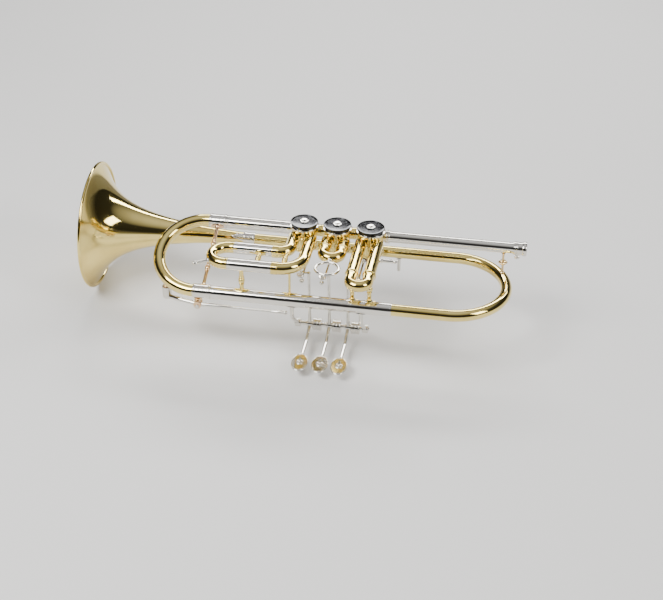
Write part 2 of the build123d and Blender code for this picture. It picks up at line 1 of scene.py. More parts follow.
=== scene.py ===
"""Finished surfaces of a rotary-valve trumpet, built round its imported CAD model.

The frame's +X runs out of the mouthpiece receiver at the player, the bell opens towards
-X, and the valve caps look up.  Every piece is a surface worked out with numpy in
millimetres, from the boxes of the CAD nodes that it stands for and the sizes named below.
"""
import json
import math
from types import SimpleNamespace

import bmesh
import bpy
import numpy as np
from mathutils import Matrix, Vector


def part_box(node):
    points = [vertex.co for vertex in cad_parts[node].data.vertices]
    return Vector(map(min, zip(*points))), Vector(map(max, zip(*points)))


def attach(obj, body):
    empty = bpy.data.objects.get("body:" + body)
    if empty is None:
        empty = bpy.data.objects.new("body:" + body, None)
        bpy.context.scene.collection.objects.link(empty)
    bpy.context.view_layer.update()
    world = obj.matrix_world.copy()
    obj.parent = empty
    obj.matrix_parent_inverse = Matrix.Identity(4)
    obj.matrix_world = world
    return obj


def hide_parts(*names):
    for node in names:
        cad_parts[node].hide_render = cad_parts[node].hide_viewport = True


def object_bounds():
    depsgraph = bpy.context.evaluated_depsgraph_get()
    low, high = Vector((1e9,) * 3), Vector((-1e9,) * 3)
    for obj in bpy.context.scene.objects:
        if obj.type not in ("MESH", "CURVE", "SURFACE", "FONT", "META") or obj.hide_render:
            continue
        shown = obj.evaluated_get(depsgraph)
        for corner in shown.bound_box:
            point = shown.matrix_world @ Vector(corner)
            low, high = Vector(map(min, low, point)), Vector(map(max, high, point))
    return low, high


bl_info = {
    "name": "Rotary trumpet finish",
    "version": (1, 0, 0),
    "blender": (4, 5, 0),
    "location": "View3D > Sidebar > Trumpet",
    "description": "Builds the polished surfaces of a rotary-valve trumpet",
    "category": "Object",
}

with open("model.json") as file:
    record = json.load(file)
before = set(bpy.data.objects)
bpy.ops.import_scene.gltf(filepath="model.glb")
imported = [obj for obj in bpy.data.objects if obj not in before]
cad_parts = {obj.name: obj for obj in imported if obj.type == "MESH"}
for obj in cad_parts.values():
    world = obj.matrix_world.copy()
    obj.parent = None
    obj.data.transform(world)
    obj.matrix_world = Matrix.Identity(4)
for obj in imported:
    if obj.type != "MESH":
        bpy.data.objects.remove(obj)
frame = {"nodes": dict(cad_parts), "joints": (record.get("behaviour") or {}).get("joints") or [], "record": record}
CAD_BOX = [list(corner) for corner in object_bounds()]
MM = 0.001                     # shapes are in millimetres, and build() makes metres of them
UP = np.array([0.0, 0.0, 1.0])
ALONG = np.array([1.0, 0.0, 0.0])
ROUND = 56                     # points round a large tube
FINE = 28                      # points round a small rod


# ---- places, read from the frame

def corners(node):
    """The low and the high corner of a node's box, in millimetres."""
    low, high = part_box(node)
    return np.array(low) / MM, np.array(high) / MM


def centre(node):
    """The middle of a node's box, in millimetres."""
    low, high = corners(node)
    return (low + high) / 2


def read_plan():
    """Every place and radius that the pieces share, from the boxes of the CAD nodes."""
    p = SimpleNamespace()
    low, high = corners("lower_main_sleeve")
    p.near_y, p.branch_z = centre("lower_main_sleeve")[1:]
    p.sleeve_r = (high[2] - low[2]) / 2
    p.sleeve_left, p.joint_x = low[0], high[0]
    p.upper_right = corners("upper_main_sleeve")[1][0]
    p.bell_y = centre("bell")[1]
    p.tail_x = corners("bell")[1][0]
    low, high = corners("bell_rim_wire")
    p.rim_x = (low[0] + high[0]) / 2
    p.wire_r = (high[0] - low[0]) / 2
    p.rim_r = (high[2] - low[2]) / 2 - p.wire_r
    low, high = corners("bell_branch")
    p.tube_r = (high[2] - low[2]) / 2
    p.right_x = high[0] - p.tube_r - (p.bell_y - p.near_y) / 2
    p.left_x = corners("main_slide_bow")[1][0]
    bow_r = math.hypot(p.near_y, p.branch_z) / 2
    p.main_tube_r = p.left_x - bow_r - corners("main_slide_bow")[0][0]
    p.ferrule_r = corners("main_slide_ferrules")[1][2]
    p.ferrule_right = corners("main_slide_ferrules")[1][0]
    p.valves = [centre(f"rotor_{n}")[:2] for n in (1, 2, 3)]
    p.valve_y = p.valves[0][1]
    p.port = -p.valve_y
    low, high = corners("casings")
    p.casing_r = (high[1] - low[1]) / 2
    p.casing_low, p.casing_high = low[2], high[2]
    p.ring_r = (corners("casing_rings")[1][1] - corners("casing_rings")[0][1]) / 2
    low, high = corners("valve_caps")
    p.cap_r = (high[1] - low[1]) / 2
    p.cap_low, p.cap_high = low[2], high[2]
    low, high = corners("first_sleeves")
    p.loop_r = (high[2] - low[2]) / 2
    p.first_sleeve_y = low[1]
    p.first_bow_y = corners("first_slide_legs")[0][1]
    p.second_sleeve_y = corners("second_sleeves")[0][1]
    p.second_bow_y = corners("second_slide_legs")[0][1]
    low, high = corners("third_slide_bow")
    p.far_y = high[1] - p.loop_r
    p.third_r = (p.far_y - p.near_y) / 2
    p.third_x = corners("third_slide_legs")[0][0]
    p.third_sleeve_x = corners("third_sleeves")[0][0]
    p.near_turn = corners("third_sleeves")[1][0] + 2
    p.near_elbow_r = p.valves[2][0] + p.port - p.near_turn
    p.far_elbow_r = 10
    low, high = corners("second_slide_ring")
    p.finger_ring_r = (high[0] - low[0]) / 2
    p.finger_ring_y = low[1] + p.finger_ring_r
    p.shaft_y, p.shaft_z = centre("lever_shaft")[1:]
    p.shaft_left, p.shaft_right = corners("lever_shaft")[0][0], corners("lever_shaft")[1][0]
    p.link_z = centre("link_1")[2]
    p.lever_x = [centre(f"finger_plate_{n}")[0] for n in (1, 2, 3)]
    p.key_x, p.key_z = centre("water_key_pin")[::2]
    p.key_tip_x = corners("water_key_lever")[1][0] - 2.2
    p.pin_tip = corners("third_slide_pin")[0][:2] + 2.3
    p.seat_x, p.seat_y = centre("water_key_cork")[:2]
    p.cork_top = corners("water_key_cork")[1][2]
    return p


plan = read_plan()


# ---- sizes in millimetres that no box gives

CROWN_POINT = 13.0             # how far the points of the bell's ferrule are drawn out
RECEIVER_LENGTH, RECEIVER_R, SHANK_R = 14.0, 6.5, 4.9          # SHANK_R is the bore's
EAR_ASIDE, EAR_WIDE, EAR_TALL = 3.6, 3.8, 4.4      # the water key post's two ears
KEY_BEND = 24.0                # radius of both bends of the water key's arm
RING_WIRE_R = 1.5              # wire of the second slide's finger ring
BALL_R = 2.4                   # balls that hang from the levers' cross arms
UPRIGHT_X, GAP_STAYS_X = 17.0, (30.7, 57.0)        # stays, from the third slide's open end
PLAIN_STAY_X, PLAIN_STAY_Y = -2.5, 2.6             # the plain stay, from the third valve and the sleeve
HOOK_Y, POST_X = -46.0, -129.5                     # finger hook and the post below the branch
DRUM_LENGTH, DRUM_R = 8.5, 6.1                     # drums round the levers' springs
NECK = ((0.0, 0.0), (-20.0, -6.0), (-44.0, -4.0), (-58.0, -1.8))   # a lever's neck, Y and Z from the shaft
PLATE_LONG, PLATE_WIDE, PLATE_EDGE = 12.9, 8.4, 1.0            # half sizes of a finger plate
PLATE_DROP = 3.2               # from the shaft's height down to the plate's
CRANK_R = 8.0                  # from a valve's axis to its crank pin
EYE_LONG, EYE_WIDE, EYE_THICK = 3.67, 2.8, 1.25    # half sizes of a link's slotted eye


# ---- what a user may change

def length_property(name, description, default):
    return bpy.props.FloatProperty(name=name, description=description, default=default,
                                   min=0.0, unit="LENGTH", precision=5)


def tint_property(name, description, default):
    return bpy.props.FloatVectorProperty(name=name, description=description, default=default,
                                         subtype="COLOR", size=3, min=0.0, max=1.0)


class TRUMPET_PG_sizes(bpy.types.PropertyGroup):
    """Sizes of the bell and its fittings that aren't read from the frame."""
    bell_sink: length_property("Bell sink", "How far the flare's curve runs below the bell's axis", 0.005)
    bell_flare: length_property("Bell flare", "Length scale of the flare's hyperbola", 0.0293)
    bell_wall: length_property("Bell wall", "Thickness of the bell's sheet", 0.0008)


class TRUMPET_PG_finish(bpy.types.PropertyGroup):
    """Colours of the metals and cork."""
    brass: tint_property("Brass", "Lacquered yellow brass", (0.88, 0.71, 0.235))
    brass_deep: tint_property("Deep brass", "Yellow brass where the lacquer is thicker", (0.72, 0.51, 0.12))
    nickel: tint_property("Nickel silver", "Polished nickel silver", (0.78, 0.755, 0.70))
    red_brass: tint_property("Red brass", "Pinkish fittings", (0.84, 0.56, 0.34))
    bronze: tint_property("Bronze", "Ground bearing bronze", (0.52, 0.38, 0.20))
    black: tint_property("Black nickel", "Dark mirror of the caps", (0.018, 0.018, 0.02))
    cork: tint_property("Cork", "Cork of the bumpers and the water key", (0.42, 0.26, 0.13))
    floor: tint_property("Floor", "Pale studio floor", (0.80, 0.79, 0.77))


class TRUMPET_PG_studio(bpy.types.PropertyGroup):
    """Camera and lights."""
    azimuth: bpy.props.FloatProperty(name="Azimuth", description="Camera's turn round the valves",
                                     default=math.radians(9.37), subtype="ANGLE")
    elevation: bpy.props.FloatProperty(name="Elevation", description="Camera's height as an angle",
                                       default=math.radians(33.42), subtype="ANGLE")
    roll: bpy.props.FloatProperty(name="Roll", description="Camera's lean", default=math.radians(0.42),
                                  subtype="ANGLE")
    distance: length_property("Distance", "From the camera to the point it aims at", 1.522)
    aim_drop: length_property("Aim drop", "How far below the valves the camera aims", 0.0636)
    aim_left: length_property("Aim left", "How far to the left of the valves the camera aims", 0.0059)
    lens: bpy.props.FloatProperty(name="Lens", description="Focal length in millimetres", default=82.8)
    key_power: bpy.props.FloatProperty(name="Key light", description="Power of the key light", default=30.0)


# ---- shapes: every function returns a grid of points, rows along the piece and columns round it

def run(*points, step=3.0):
    """Straight runs between the points, sampled about every step along each."""
    stretches = []
    for a, b in zip(points[:-1], points[1:]):
        a, b = np.array(a, float), np.array(b, float)
        count = max(2, int(np.linalg.norm(b - a) / step) + 1)
        share = np.linspace(0, 1, count)[:, None]
        stretches.append(a + (b - a) * share)
    return np.concatenate([stretches[0]] + [s[1:] for s in stretches[1:]])


def half_circle(start, end, bulge, count=72):
    """Centre minus cosine of the turn times half the span, plus sine of it times the bulge."""
    start, end = np.array(start, float), np.array(end, float)
    middle, half = (start + end) / 2, (end - start) / 2
    turn = np.linspace(0, np.pi, count)[:, None]
    return middle - np.cos(turn) * half + np.sin(turn) * np.array(bulge) * np.linalg.norm(half)


def corner(before, at, after, radius, count=24):
    """The arc tangent to both runs at a corner: centre plus radius times the turning unit vector."""
    before, at, after = (np.array(v, float) for v in (before, at, after))
    u = (before - at) / np.linalg.norm(before - at)
    v = (after - at) / np.linalg.norm(after - at)
    half = math.acos(np.clip(u @ v, -1, 1)) / 2
    middle = at + (u + v) / np.linalg.norm(u + v) * radius / math.sin(half)
    first = at + u * radius / math.tan(half) - middle
    last = at + v * radius / math.tan(half) - middle
    sweep = np.pi - 2 * half
    turn = np.linspace(0, sweep, count)[:, None]
    return middle + (np.sin(sweep - turn) * first + np.sin(turn) * last) / math.sin(sweep)


def joined(*paths):
    """Several paths as one, with the points that they share kept once."""
    line = np.concatenate(paths)
    step = np.linalg.norm(np.diff(line, axis=0), axis=1)
    return line[np.concatenate([[True], step > 1e-4])]


def circle(turns):
    """Evenly spaced angles once round."""
    return np.linspace(0, 2 * np.pi, turns, endpoint=False)


def sweep(path, radius, turns=ROUND, up=UP):
    """Each point of the path plus its radius times a circle square to the path.

    A last ring of no size at each end closes the tube.
    """
    along = np.gradient(path, axis=0)
    along /= np.linalg.norm(along, axis=1)[:, None]
    side = np.cross(np.broadcast_to(up, along.shape), along)
    side /= np.linalg.norm(side, axis=1)[:, None]
    rise = np.cross(along, side)
    angle = circle(turns)
    size = np.broadcast_to(radius, len(path))[:, None, None]
    ring = side[:, None] * np.cos(angle)[None, :, None] + rise[:, None] * np.sin(angle)[None, :, None]
    ends = [np.repeat(point[None, None], turns, axis=1) for point in (path[0], path[-1])]
    return np.concatenate([ends[0], path[:, None] + size * ring, ends[1]])


def square_to(axis):
    """Two unit vectors square to an axis and to each other."""
    other = UP if abs(axis[2]) < 0.9 else ALONG
    side = np.cross(other, axis)
    side /= np.linalg.norm(side)
    return side, np.cross(axis, side)


def lathe(start, end, along, radius, turns=ROUND):
    """Points at given shares of the way from start to end, turned at given radii."""
    start, end = np.array(start, float), np.array(end, float)
    axis = (end - start) / np.linalg.norm(end - start)
    side, rise = square_to(axis)
    angle = circle(turns)
    spine = start + np.asarray(along)[:, None] * (end - start)
    ring = np.cos(angle)[:, None] * side + np.sin(angle)[:, None] * rise
    return spine[:, None] + np.asarray(radius)[:, None, None] * ring[None]


def bead(place, at, width, height):
    """A half-round bead: height times the square root of one minus the squared distance."""
    return height * np.sqrt(np.clip(1 - ((place - at) / width) ** 2, 0, 1))


def groove(place, at, width, depth):
    """A fine turned line: minus depth times a bell curve."""
    return -depth * np.exp(-((place - at) / width) ** 2)


def flare(place, at, fade, height):
    """A foot that spreads towards a place: height times a falling exponential."""
    return height * np.exp(-np.abs(place - at) / fade)


def turned(bar, *features):
    """The outline of a turned part: a bar's radius plus features.

    Each feature is a shape, a share of the length and a distance past it, a width and a
    height.  Where the share is None, the distance is from the nearer end.
    """
    def outline(place, span):
        size = np.full_like(place, bar)
        for shape, share, past, width, height in features:
            if share is None:
                size += shape(np.minimum(place, span - place), past, width, height)
            else:
                size += shape(place, share * span + past, width, height)
        return size
    return outline


def closed_ends(along, radius):
    """The same outline with a point on the axis at each end, so that the ends are faces."""
    return (np.concatenate([along[:1], along, along[-1:]]),
            np.concatenate([[0.0], radius, [0.0]]))


def turned_bar(start, end, outline, turns=FINE, count=120):
    """A solid turned part.  outline gives the radius for each distance from the start."""
    span = np.linalg.norm(np.array(end, float) - np.array(start, float))
    share = np.linspace(0, 1, count)
    along, radius = closed_ends(share, outline(share * span, span))
    return lathe(start, end, along, radius, turns)


def ball(middle, radius, turns=FINE):
    """A sphere: the sine of the latitude across, the cosine along."""
    turn = np.linspace(0, np.pi, turns // 2 + 1)
    start = np.array(middle, float) - UP * radius
    end = np.array(middle, float) + UP * radius
    return lathe(start, end, (1 - np.cos(turn)) / 2, radius * np.sin(turn), turns)


def torus(middle, axis, radius, wire, turns=96, round_wire=20):
    """A ring: radius plus wire times the cosine outward, wire times the sine along the axis."""
    axis = np.array(axis, float)
    side, rise = square_to(axis)
    turn = circle(turns)[:, None, None]
    small = circle(round_wire)[None, :, None]
    out = np.cos(turn) * side + np.sin(turn) * rise
    return np.array(middle, float) + out * (radius + wire * np.cos(small)) + axis * wire * np.sin(small)


def saddle(middle, axis, out, tube_r, long, wide, thick, points=0.0, rings=14, turns=48):
    """A foot wrapped on a tube: an oval drawn on the tube's wall, raised most at its middle.

    The oval's long radius grows by points times the fourth power of the cosine, which
    draws its ends out.  The last two rings fold under into the tube's wall.
    """
    axis, out = np.array(axis, float), np.array(out, float)
    side = np.cross(axis, out)
    share = np.concatenate([np.linspace(0, 1, rings) ** 0.7, [1.0, 0.0]])
    lift = np.concatenate([thick * (1 - 0.45 * np.linspace(0, 1, rings) ** 3), [-0.3, -0.3]])
    turn = circle(turns)
    reach = 1 + points * np.cos(turn) ** 4
    along = share[:, None] * long * reach * np.cos(turn)
    around = share[:, None] * wide * np.sin(turn) / tube_r
    size = tube_r + lift[:, None]
    return (np.array(middle, float) + along[..., None] * axis
            + (size * np.cos(around))[..., None] * out + (size * np.sin(around))[..., None] * side)


def waved(grid, x, y, wave):
    """A grid whose distances from an upright axis at x, y are multiplied by a wave round it."""
    out = grid.copy()
    out[..., :2] = (x, y) + (grid[..., :2] - (x, y)) * wave[..., None]
    return out


def upright(x, y, start, end, *shape):
    """A turned part along Z."""
    return turned_bar((x, y, start), (x, y, end), *shape)


def level(start, end, y, z, *shape):
    """A turned part along X."""
    return turned_bar((start, y, z), (end, y, z), *shape)


def rotated(grid, pivot_y, pivot_z, angle):
    """A grid turned about a line along X by the right-hand rule."""
    y, z = grid[..., 1] - pivot_y, grid[..., 2] - pivot_z
    out = grid.copy()
    out[..., 1] = pivot_y + y * math.cos(angle) - z * math.sin(angle)
    out[..., 2] = pivot_z + y * math.sin(angle) + z * math.cos(angle)
    return out


def quads(rows, cols, first, wrap_rows):
    """Corner numbers of every face of a grid whose columns close round."""
    number = np.arange(rows * cols).reshape(rows, cols) + first
    right = np.roll(number, -1, axis=1)
    if wrap_rows:
        above, above_right = np.roll(number, -1, axis=0), np.roll(right, -1, axis=0)
    else:
        number, above = number[:-1], number[1:]
        right, above_right = right[:-1], right[1:]
    return np.stack([number, right, above_right, above], axis=-1).reshape(-1, 4)


def build(name, grids, finish, body, stands_for=(), slot="", sharp=38):
    """Makes one piece from grids.  A grid marked as a loop closes along its rows too.

    The map that goes with it holds the turn round the piece and the distance along it.
    """
    places, faces, maps, first = [], [], [], 0
    for grid in grids:
        loop = isinstance(grid, tuple)
        points = (grid[0] if loop else grid) * MM
        rows, cols = points.shape[:2]
        places.append(points.reshape(-1, 3))
        faces.append(quads(rows, cols, first, loop))
        step = np.linalg.norm(np.diff(points.mean(axis=1), axis=0), axis=1)
        step += np.abs(np.diff(np.linalg.norm(points - points.mean(axis=1)[:, None], axis=2)[:, 0]))
        along = np.concatenate([[0.0], np.cumsum(step)])
        u, v = np.meshgrid(np.arange(cols) / cols, along)
        maps.append(np.stack([u, v], axis=-1).reshape(-1, 2))
        first += rows * cols
    mesh = bpy.data.meshes.new(name)
    mesh.from_pydata(np.concatenate(places), [], np.concatenate(faces).tolist())
    layer = mesh.uv_layers.new(name="turned")
    corner_of = np.empty(len(mesh.loops), np.int32)
    mesh.loops.foreach_get("vertex_index", corner_of)
    layer.data.foreach_set("uv", np.concatenate(maps)[corner_of].astype(np.float32).ravel())
    shape = bmesh.new()
    shape.from_mesh(mesh)
    bmesh.ops.remove_doubles(shape, verts=shape.verts, dist=2e-6)
    bmesh.ops.dissolve_degenerate(shape, edges=shape.edges, dist=1e-7)
    bmesh.ops.recalc_face_normals(shape, faces=shape.faces)
    shape.to_mesh(mesh)
    shape.free()
    mesh.shade_smooth()
    mesh.set_sharp_from_angle(angle=math.radians(sharp))
    piece = bpy.data.objects.new(name, mesh)
    bpy.context.collection.objects.link(piece)
    mesh.materials.append(finish)
    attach(piece, body)
    if stands_for:
        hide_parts(*stands_for)
    return piece


# ---- materials

class Value:
    """A number worked out in a material, so that shader maths reads as Python."""

    def __init__(self, tree, socket):
        self.tree = tree
        self.socket = socket

    def _math(self, operation, first, second):
        node = self.tree.nodes.new("ShaderNodeMath")
        node.operation = operation
        for place, value in zip(node.inputs, (first, second)):
            if isinstance(value, Value):
                self.tree.links.new(value.socket, place)
            else:
                place.default_value = value
        return Value(self.tree, node.outputs[0])

    def __add__(self, other):
        return self._math("ADD", self, other)

    def __mul__(self, other):
        return self._math("MULTIPLY", self, other)

    __radd__ = __add__


class Finish:
    """One material and its nodes."""

    def __init__(self, name, **fixed):
        self.material = bpy.data.materials.new(name)
        self.material.use_nodes = True
        self.tree = self.material.node_tree
        self.shader = self.tree.nodes["Principled BSDF"]
        for socket, value in fixed.items():
            self.shader.inputs[socket.replace("_", " ").title()].default_value = value

    def node(self, kind, settings=None, **inputs):
        """Adds a node: its settings first, then the values or links of its sockets."""
        made = self.tree.nodes.new(kind)
        for name, value in (settings or {}).items():
            setattr(made, name, value)
        for name, value in inputs.items():
            place = made.inputs[name.replace("_", " ")]
            if isinstance(value, Value):
                self.tree.links.new(value.socket, place)
            else:
                place.default_value = value
        return made

    def value(self, made, output=0):
        return Value(self.tree, made.outputs[output])

    def place(self):
        return self.value(self.node("ShaderNodeTexCoord"), "Object")

    def turned(self, round_scale, along_scale):
        """The piece's own map, stretched by a scale round it and one along it."""
        way = self.value(self.node("ShaderNodeTexCoord"), "UV")
        made = self.node("ShaderNodeMapping", None, Vector=way, Scale=(round_scale, along_scale, 1.0))
        return self.value(made)

    def noise(self, where, scale, detail=3.0, roughness=0.55):
        made = self.node("ShaderNodeTexNoise", None, Vector=where, Scale=scale, Detail=detail,
                         Roughness=roughness)
        return self.value(made, "Fac")

    def spread(self, value, low, high):
        """The value stretched so that low becomes 0 and high becomes 1, held between them."""
        made = self.node("ShaderNodeMapRange", {"clamp": True}, Value=value, From_Min=low, From_Max=high)
        return self.value(made)

    def mix(self, share, first, second):
        """A colour between two, by share."""
        made = self.tree.nodes.new("ShaderNodeMix")
        made.data_type = "RGBA"
        self.tree.links.new(share.socket, made.inputs[0])
        for place, colour in zip((made.inputs[6], made.inputs[7]), (first, second)):
            if isinstance(colour, Value):
                self.tree.links.new(colour.socket, place)
            else:
                place.default_value = (*colour, 1.0)
        return Value(self.tree, made.outputs[2])

    def bump(self, height, strength, distance):
        made = self.node("ShaderNodeBump", None, Height=height, Strength=strength, Distance=distance)
        self.drive("Normal", self.value(made))

    def drive(self, socket, value):
        self.tree.links.new(value.socket, self.shader.inputs[socket])


def shaded(tint, *shares):
    """A colour with each channel multiplied by its share."""
    return [channel * share for channel, share in zip(tint, shares)]


def handled(name, base, spot, clean, dulled, coated):
    """Polished metal as hands and cloths leave it: faint smears, wipe marks and a warmer tone."""
    finish = Finish(name, metallic=1.0)
    where = finish.place()
    cloud = finish.spread(finish.noise(where, 26.0, 4.0), 0.42, 0.72)
    prints = finish.spread(finish.noise(where, 140.0, 2.0, 0.7), 0.55, 0.75)
    wipes = finish.noise(finish.turned(9.0, 260.0), 3.0, 4.0, 0.7)
    finish.drive("Base Color", finish.mix(cloud * 0.75, base, spot))
    finish.drive("Roughness", clean + cloud * dulled + prints * cloud * 0.05 + wipes * 0.018)
    grain = finish.noise(finish.turned(3.0, 900.0), 4.0, 2.0, 0.8)
    hairlines = finish.noise(where, 1500.0, 1.0)
    finish.bump(grain * 0.6 + hairlines * 0.4, 0.045, 0.0002)
    finish.shader.inputs["Coat Weight"].default_value = coated
    finish.shader.inputs["Coat Roughness"].default_value = 0.03
    return finish.material


def black_nickel(tints):
    """A dark mirror with the faintest turned rings."""
    finish = Finish("black_nickel", metallic=0.85)
    where = finish.place()
    dust = finish.spread(finish.noise(where, 420.0, 3.0), 0.6, 0.78)
    finish.drive("Base Color", finish.mix(dust, tints.black, shaded(tints.black, 2.4, 2.4, 2.4)))
    finish.drive("Roughness", 0.045 + dust * 0.08)
    rings = finish.noise(finish.turned(0.4, 2600.0), 2.0, 2.0)
    finish.bump(rings, 0.03, 0.0002)
    finish.shader.inputs["Coat Weight"].default_value = 0.6
    finish.shader.inputs["Coat Roughness"].default_value = 0.02
    return finish.material


def cork(tints):
    """Pressed cork: light cells with dark grains between them."""
    finish = Finish("cork", roughness=0.85)
    cells = finish.node("ShaderNodeTexVoronoi", None, Vector=finish.place(), Scale=1400.0)
    grain = finish.spread(finish.value(cells, "Distance"), 0.1, 0.7)
    finish.drive("Base Color", finish.mix(grain, tints.cork, shaded(tints.cork, 0.45, 0.45, 0.45)))
    finish.bump(grain, 0.5, 0.0003)
    return finish.material


def studio_floor(tints):
    """A pale matt floor with a breath of unevenness."""
    finish = Finish("studio_floor", roughness=0.62)
    cloud = finish.noise(finish.place(), 3.0, 4.0)
    darker = shaded(tints.floor, 0.965, 0.965, 0.965)
    finish.drive("Base Color", finish.mix(cloud, tints.floor, darker))
    finish.bump(finish.noise(finish.place(), 700.0, 2.0), 0.06, 0.0004)
    return finish.material


def handled_metals(tints):
    """For each handled metal: its colour, the tone it tends to, roughness, dulling and lacquer."""
    return {
        "lacquered_brass": (tints.brass, tints.brass_deep, 0.055, 0.06, 0.5),
        "nickel_silver": (tints.nickel, shaded(tints.nickel, 0.96, 0.93, 0.87), 0.07, 0.07, 0.0),
        "red_brass": (tints.red_brass, tints.brass, 0.08, 0.06, 0.4),
        "bearing_bronze": (tints.bronze, shaded(tints.bronze, 0.7, 0.7, 0.7), 0.22, 0.12, 0.0),
    }


OTHERS = {"black_nickel": black_nickel, "cork": cork, "studio_floor": studio_floor}


def metal(name):
    """The material of that name, made on first use."""
    made = bpy.data.materials.get(name)
    if made is None or "finished" not in made:
        tints = bpy.context.scene.trumpet_finish
        made = OTHERS[name](tints) if name in OTHERS else handled(name, *handled_metals(tints)[name])
        made["finished"] = True
    return made


def piece(name, grids, slot, body, *stands_for, sharp=38):
    """A piece in the metal of its slot, riding on a body, in place of CAD nodes."""
    return build(name, grids, metal(slot), body, stands_for, slot, sharp)


# ---- turned outlines that several pieces share

def ferrule_outline(radius, lip=0.5):
    """A short sleeve with a bead near each end and two fine lines between them."""
    return turned(radius - lip, (bead, 0, 1.5, 1.3, lip), (bead, 1, -1.5, 1.3, lip),
                  (groove, 0.38, 0, 0.25, 0.18), (groove, 0.62, 0, 0.25, 0.18))


def baluster_outline(bar, swell, foot):
    """A turned stay: a bar with a large bead between two small ones and a flare at each end."""
    rise = swell - bar
    beads = turned(bar, (bead, 0.5, 0, 2.6, rise), (bead, 0.5, -3.9, 0.9, rise * 0.55),
                   (bead, 0.5, 3.9, 0.9, rise * 0.55), (flare, None, 0, 1.1, foot - bar))

    def outline(place, span):
        size = beads(place, span)
        for share in (0.2, 0.8):
            size -= groove(place, span * share, 0.09 * span, rise * 0.25)
        return size
    return outline


def plain_outline(radius, ease=0.3):
    """A bar whose ends are eased by a small rounding."""
    def outline(place, span):
        edge = np.clip(np.minimum(place, span - place) / ease, 0, 1)
        return radius - ease * (1 - np.sqrt(1 - (1 - edge) ** 2))
    return outline


def tube_ring(start, end, radius):
    """A sleeve drawn as a bar: two fine lines cut near each end and an eased edge."""
    outline = turned(radius, (flare, None, 0, 0.25, -0.2), (groove, None, 1.3, 0.16, 0.2),
                     (groove, None, 2.0, 0.16, 0.12))
    return turned_bar(start, end, outline, ROUND, 260)


# ---- operators

class TrumpetOperator:
    """What the operators share."""
    bl_options = {"REGISTER", "UNDO"}


class TRUMPET_OT_bell(TrumpetOperator, bpy.types.Operator):
    """Bell, rolled rim and the pointed ferrule on its tail"""
    bl_idname = "trumpet.bell"
    bl_label = "Bell"

    def execute(self, context):
        sizes = context.scene.trumpet_sizes
        sink, scale, sheet = sizes.bell_sink / MM, sizes.bell_flare / MM, sizes.bell_wall / MM
        start = np.array([plan.rim_x, plan.bell_y, plan.branch_z])
        length = plan.tail_x - plan.rim_x
        depth = length * np.linspace(0, 1, 190) ** 2
        reach = (plan.rim_r + sink) * scale
        outer = reach / (depth + scale) - sink
        slope = -reach / (depth + scale) ** 2
        lean = np.sqrt(1 + slope ** 2)
        inner_depth = depth + sheet * slope / lean
        inner = outer - sheet / lean
        along = np.concatenate([depth, inner_depth[::-1]]) / length
        radius = np.concatenate([outer, inner[::-1]])
        end = start + [length, 0, 0]
        wall = lathe(start, end, along, radius, 144)
        piece("bell_flare", [(wall, "loop")], "lacquered_brass", "horn", "bell", sharp=60)
        wire = torus(start, (1, 0, 0), plan.rim_r, plan.wire_r, 192, 24)
        piece("bell_rolled_rim", [(wire, "loop")], "lacquered_brass", "horn", "bell_rim_wire")
        self.tail_ferrule(sink, scale, reach)
        return {"FINISHED"}

    def tail_ferrule(self, sink, scale, reach):
        """A sleeve with a bead on the branch side and points drawn out towards the bell."""
        low, high = corners("bell_ferrule")
        radius = (high[2] - low[2]) / 2
        y, z = plan.bell_y, plan.branch_z
        body = level(low[0] + 5, high[0], y, z, ferrule_outline(radius, 0.4), ROUND)
        turn = circle(96)
        point = CROWN_POINT * (0.5 + 0.5 * np.cos(3 * turn - 0.9)) ** 1.5
        left = low[0] + 5.5 - point
        share = np.linspace(0, 1, 12)[:, None]
        x = (low[0] + 7.5) * (1 - share) + left * share
        wall = reach / (x - plan.rim_x + scale) - sink
        lift = 0.45 * np.sqrt(np.clip(1 - share ** 8, 0, 1)) - 0.1
        size = np.maximum(wall, plan.tube_r) + lift
        under = np.maximum(wall, plan.tube_r) - 0.3
        x, size = np.concatenate([x, x[::-1]]), np.concatenate([size, under[::-1]])
        crown = np.stack([x, y + size * np.cos(turn), z + size * np.sin(turn)], axis=-1)
        piece("bell_tail_ferrule", [body, (crown, "loop")], "nickel_silver", "horn", "bell_ferrule")


class TRUMPET_OT_branch(TrumpetOperator, bpy.types.Operator):
    """Bell branch with the bow at the player's end"""
    bl_idname = "trumpet.branch"
    bl_label = "Bell branch"

    def execute(self, context):
        z = plan.branch_z
        path = joined(
            run((plan.tail_x, plan.bell_y, z), (plan.right_x, plan.bell_y, z)),
            half_circle((plan.right_x, plan.bell_y, z), (plan.right_x, plan.near_y, z), (1, 0, 0), 120),
            run((plan.right_x, plan.near_y, z), (plan.joint_x - 6, plan.near_y, z)))
        wall = sweep(path, plan.tube_r)
        piece("bell_branch_tube", [wall], "lacquered_brass", "horn", "bell_branch")
        return {"FINISHED"}


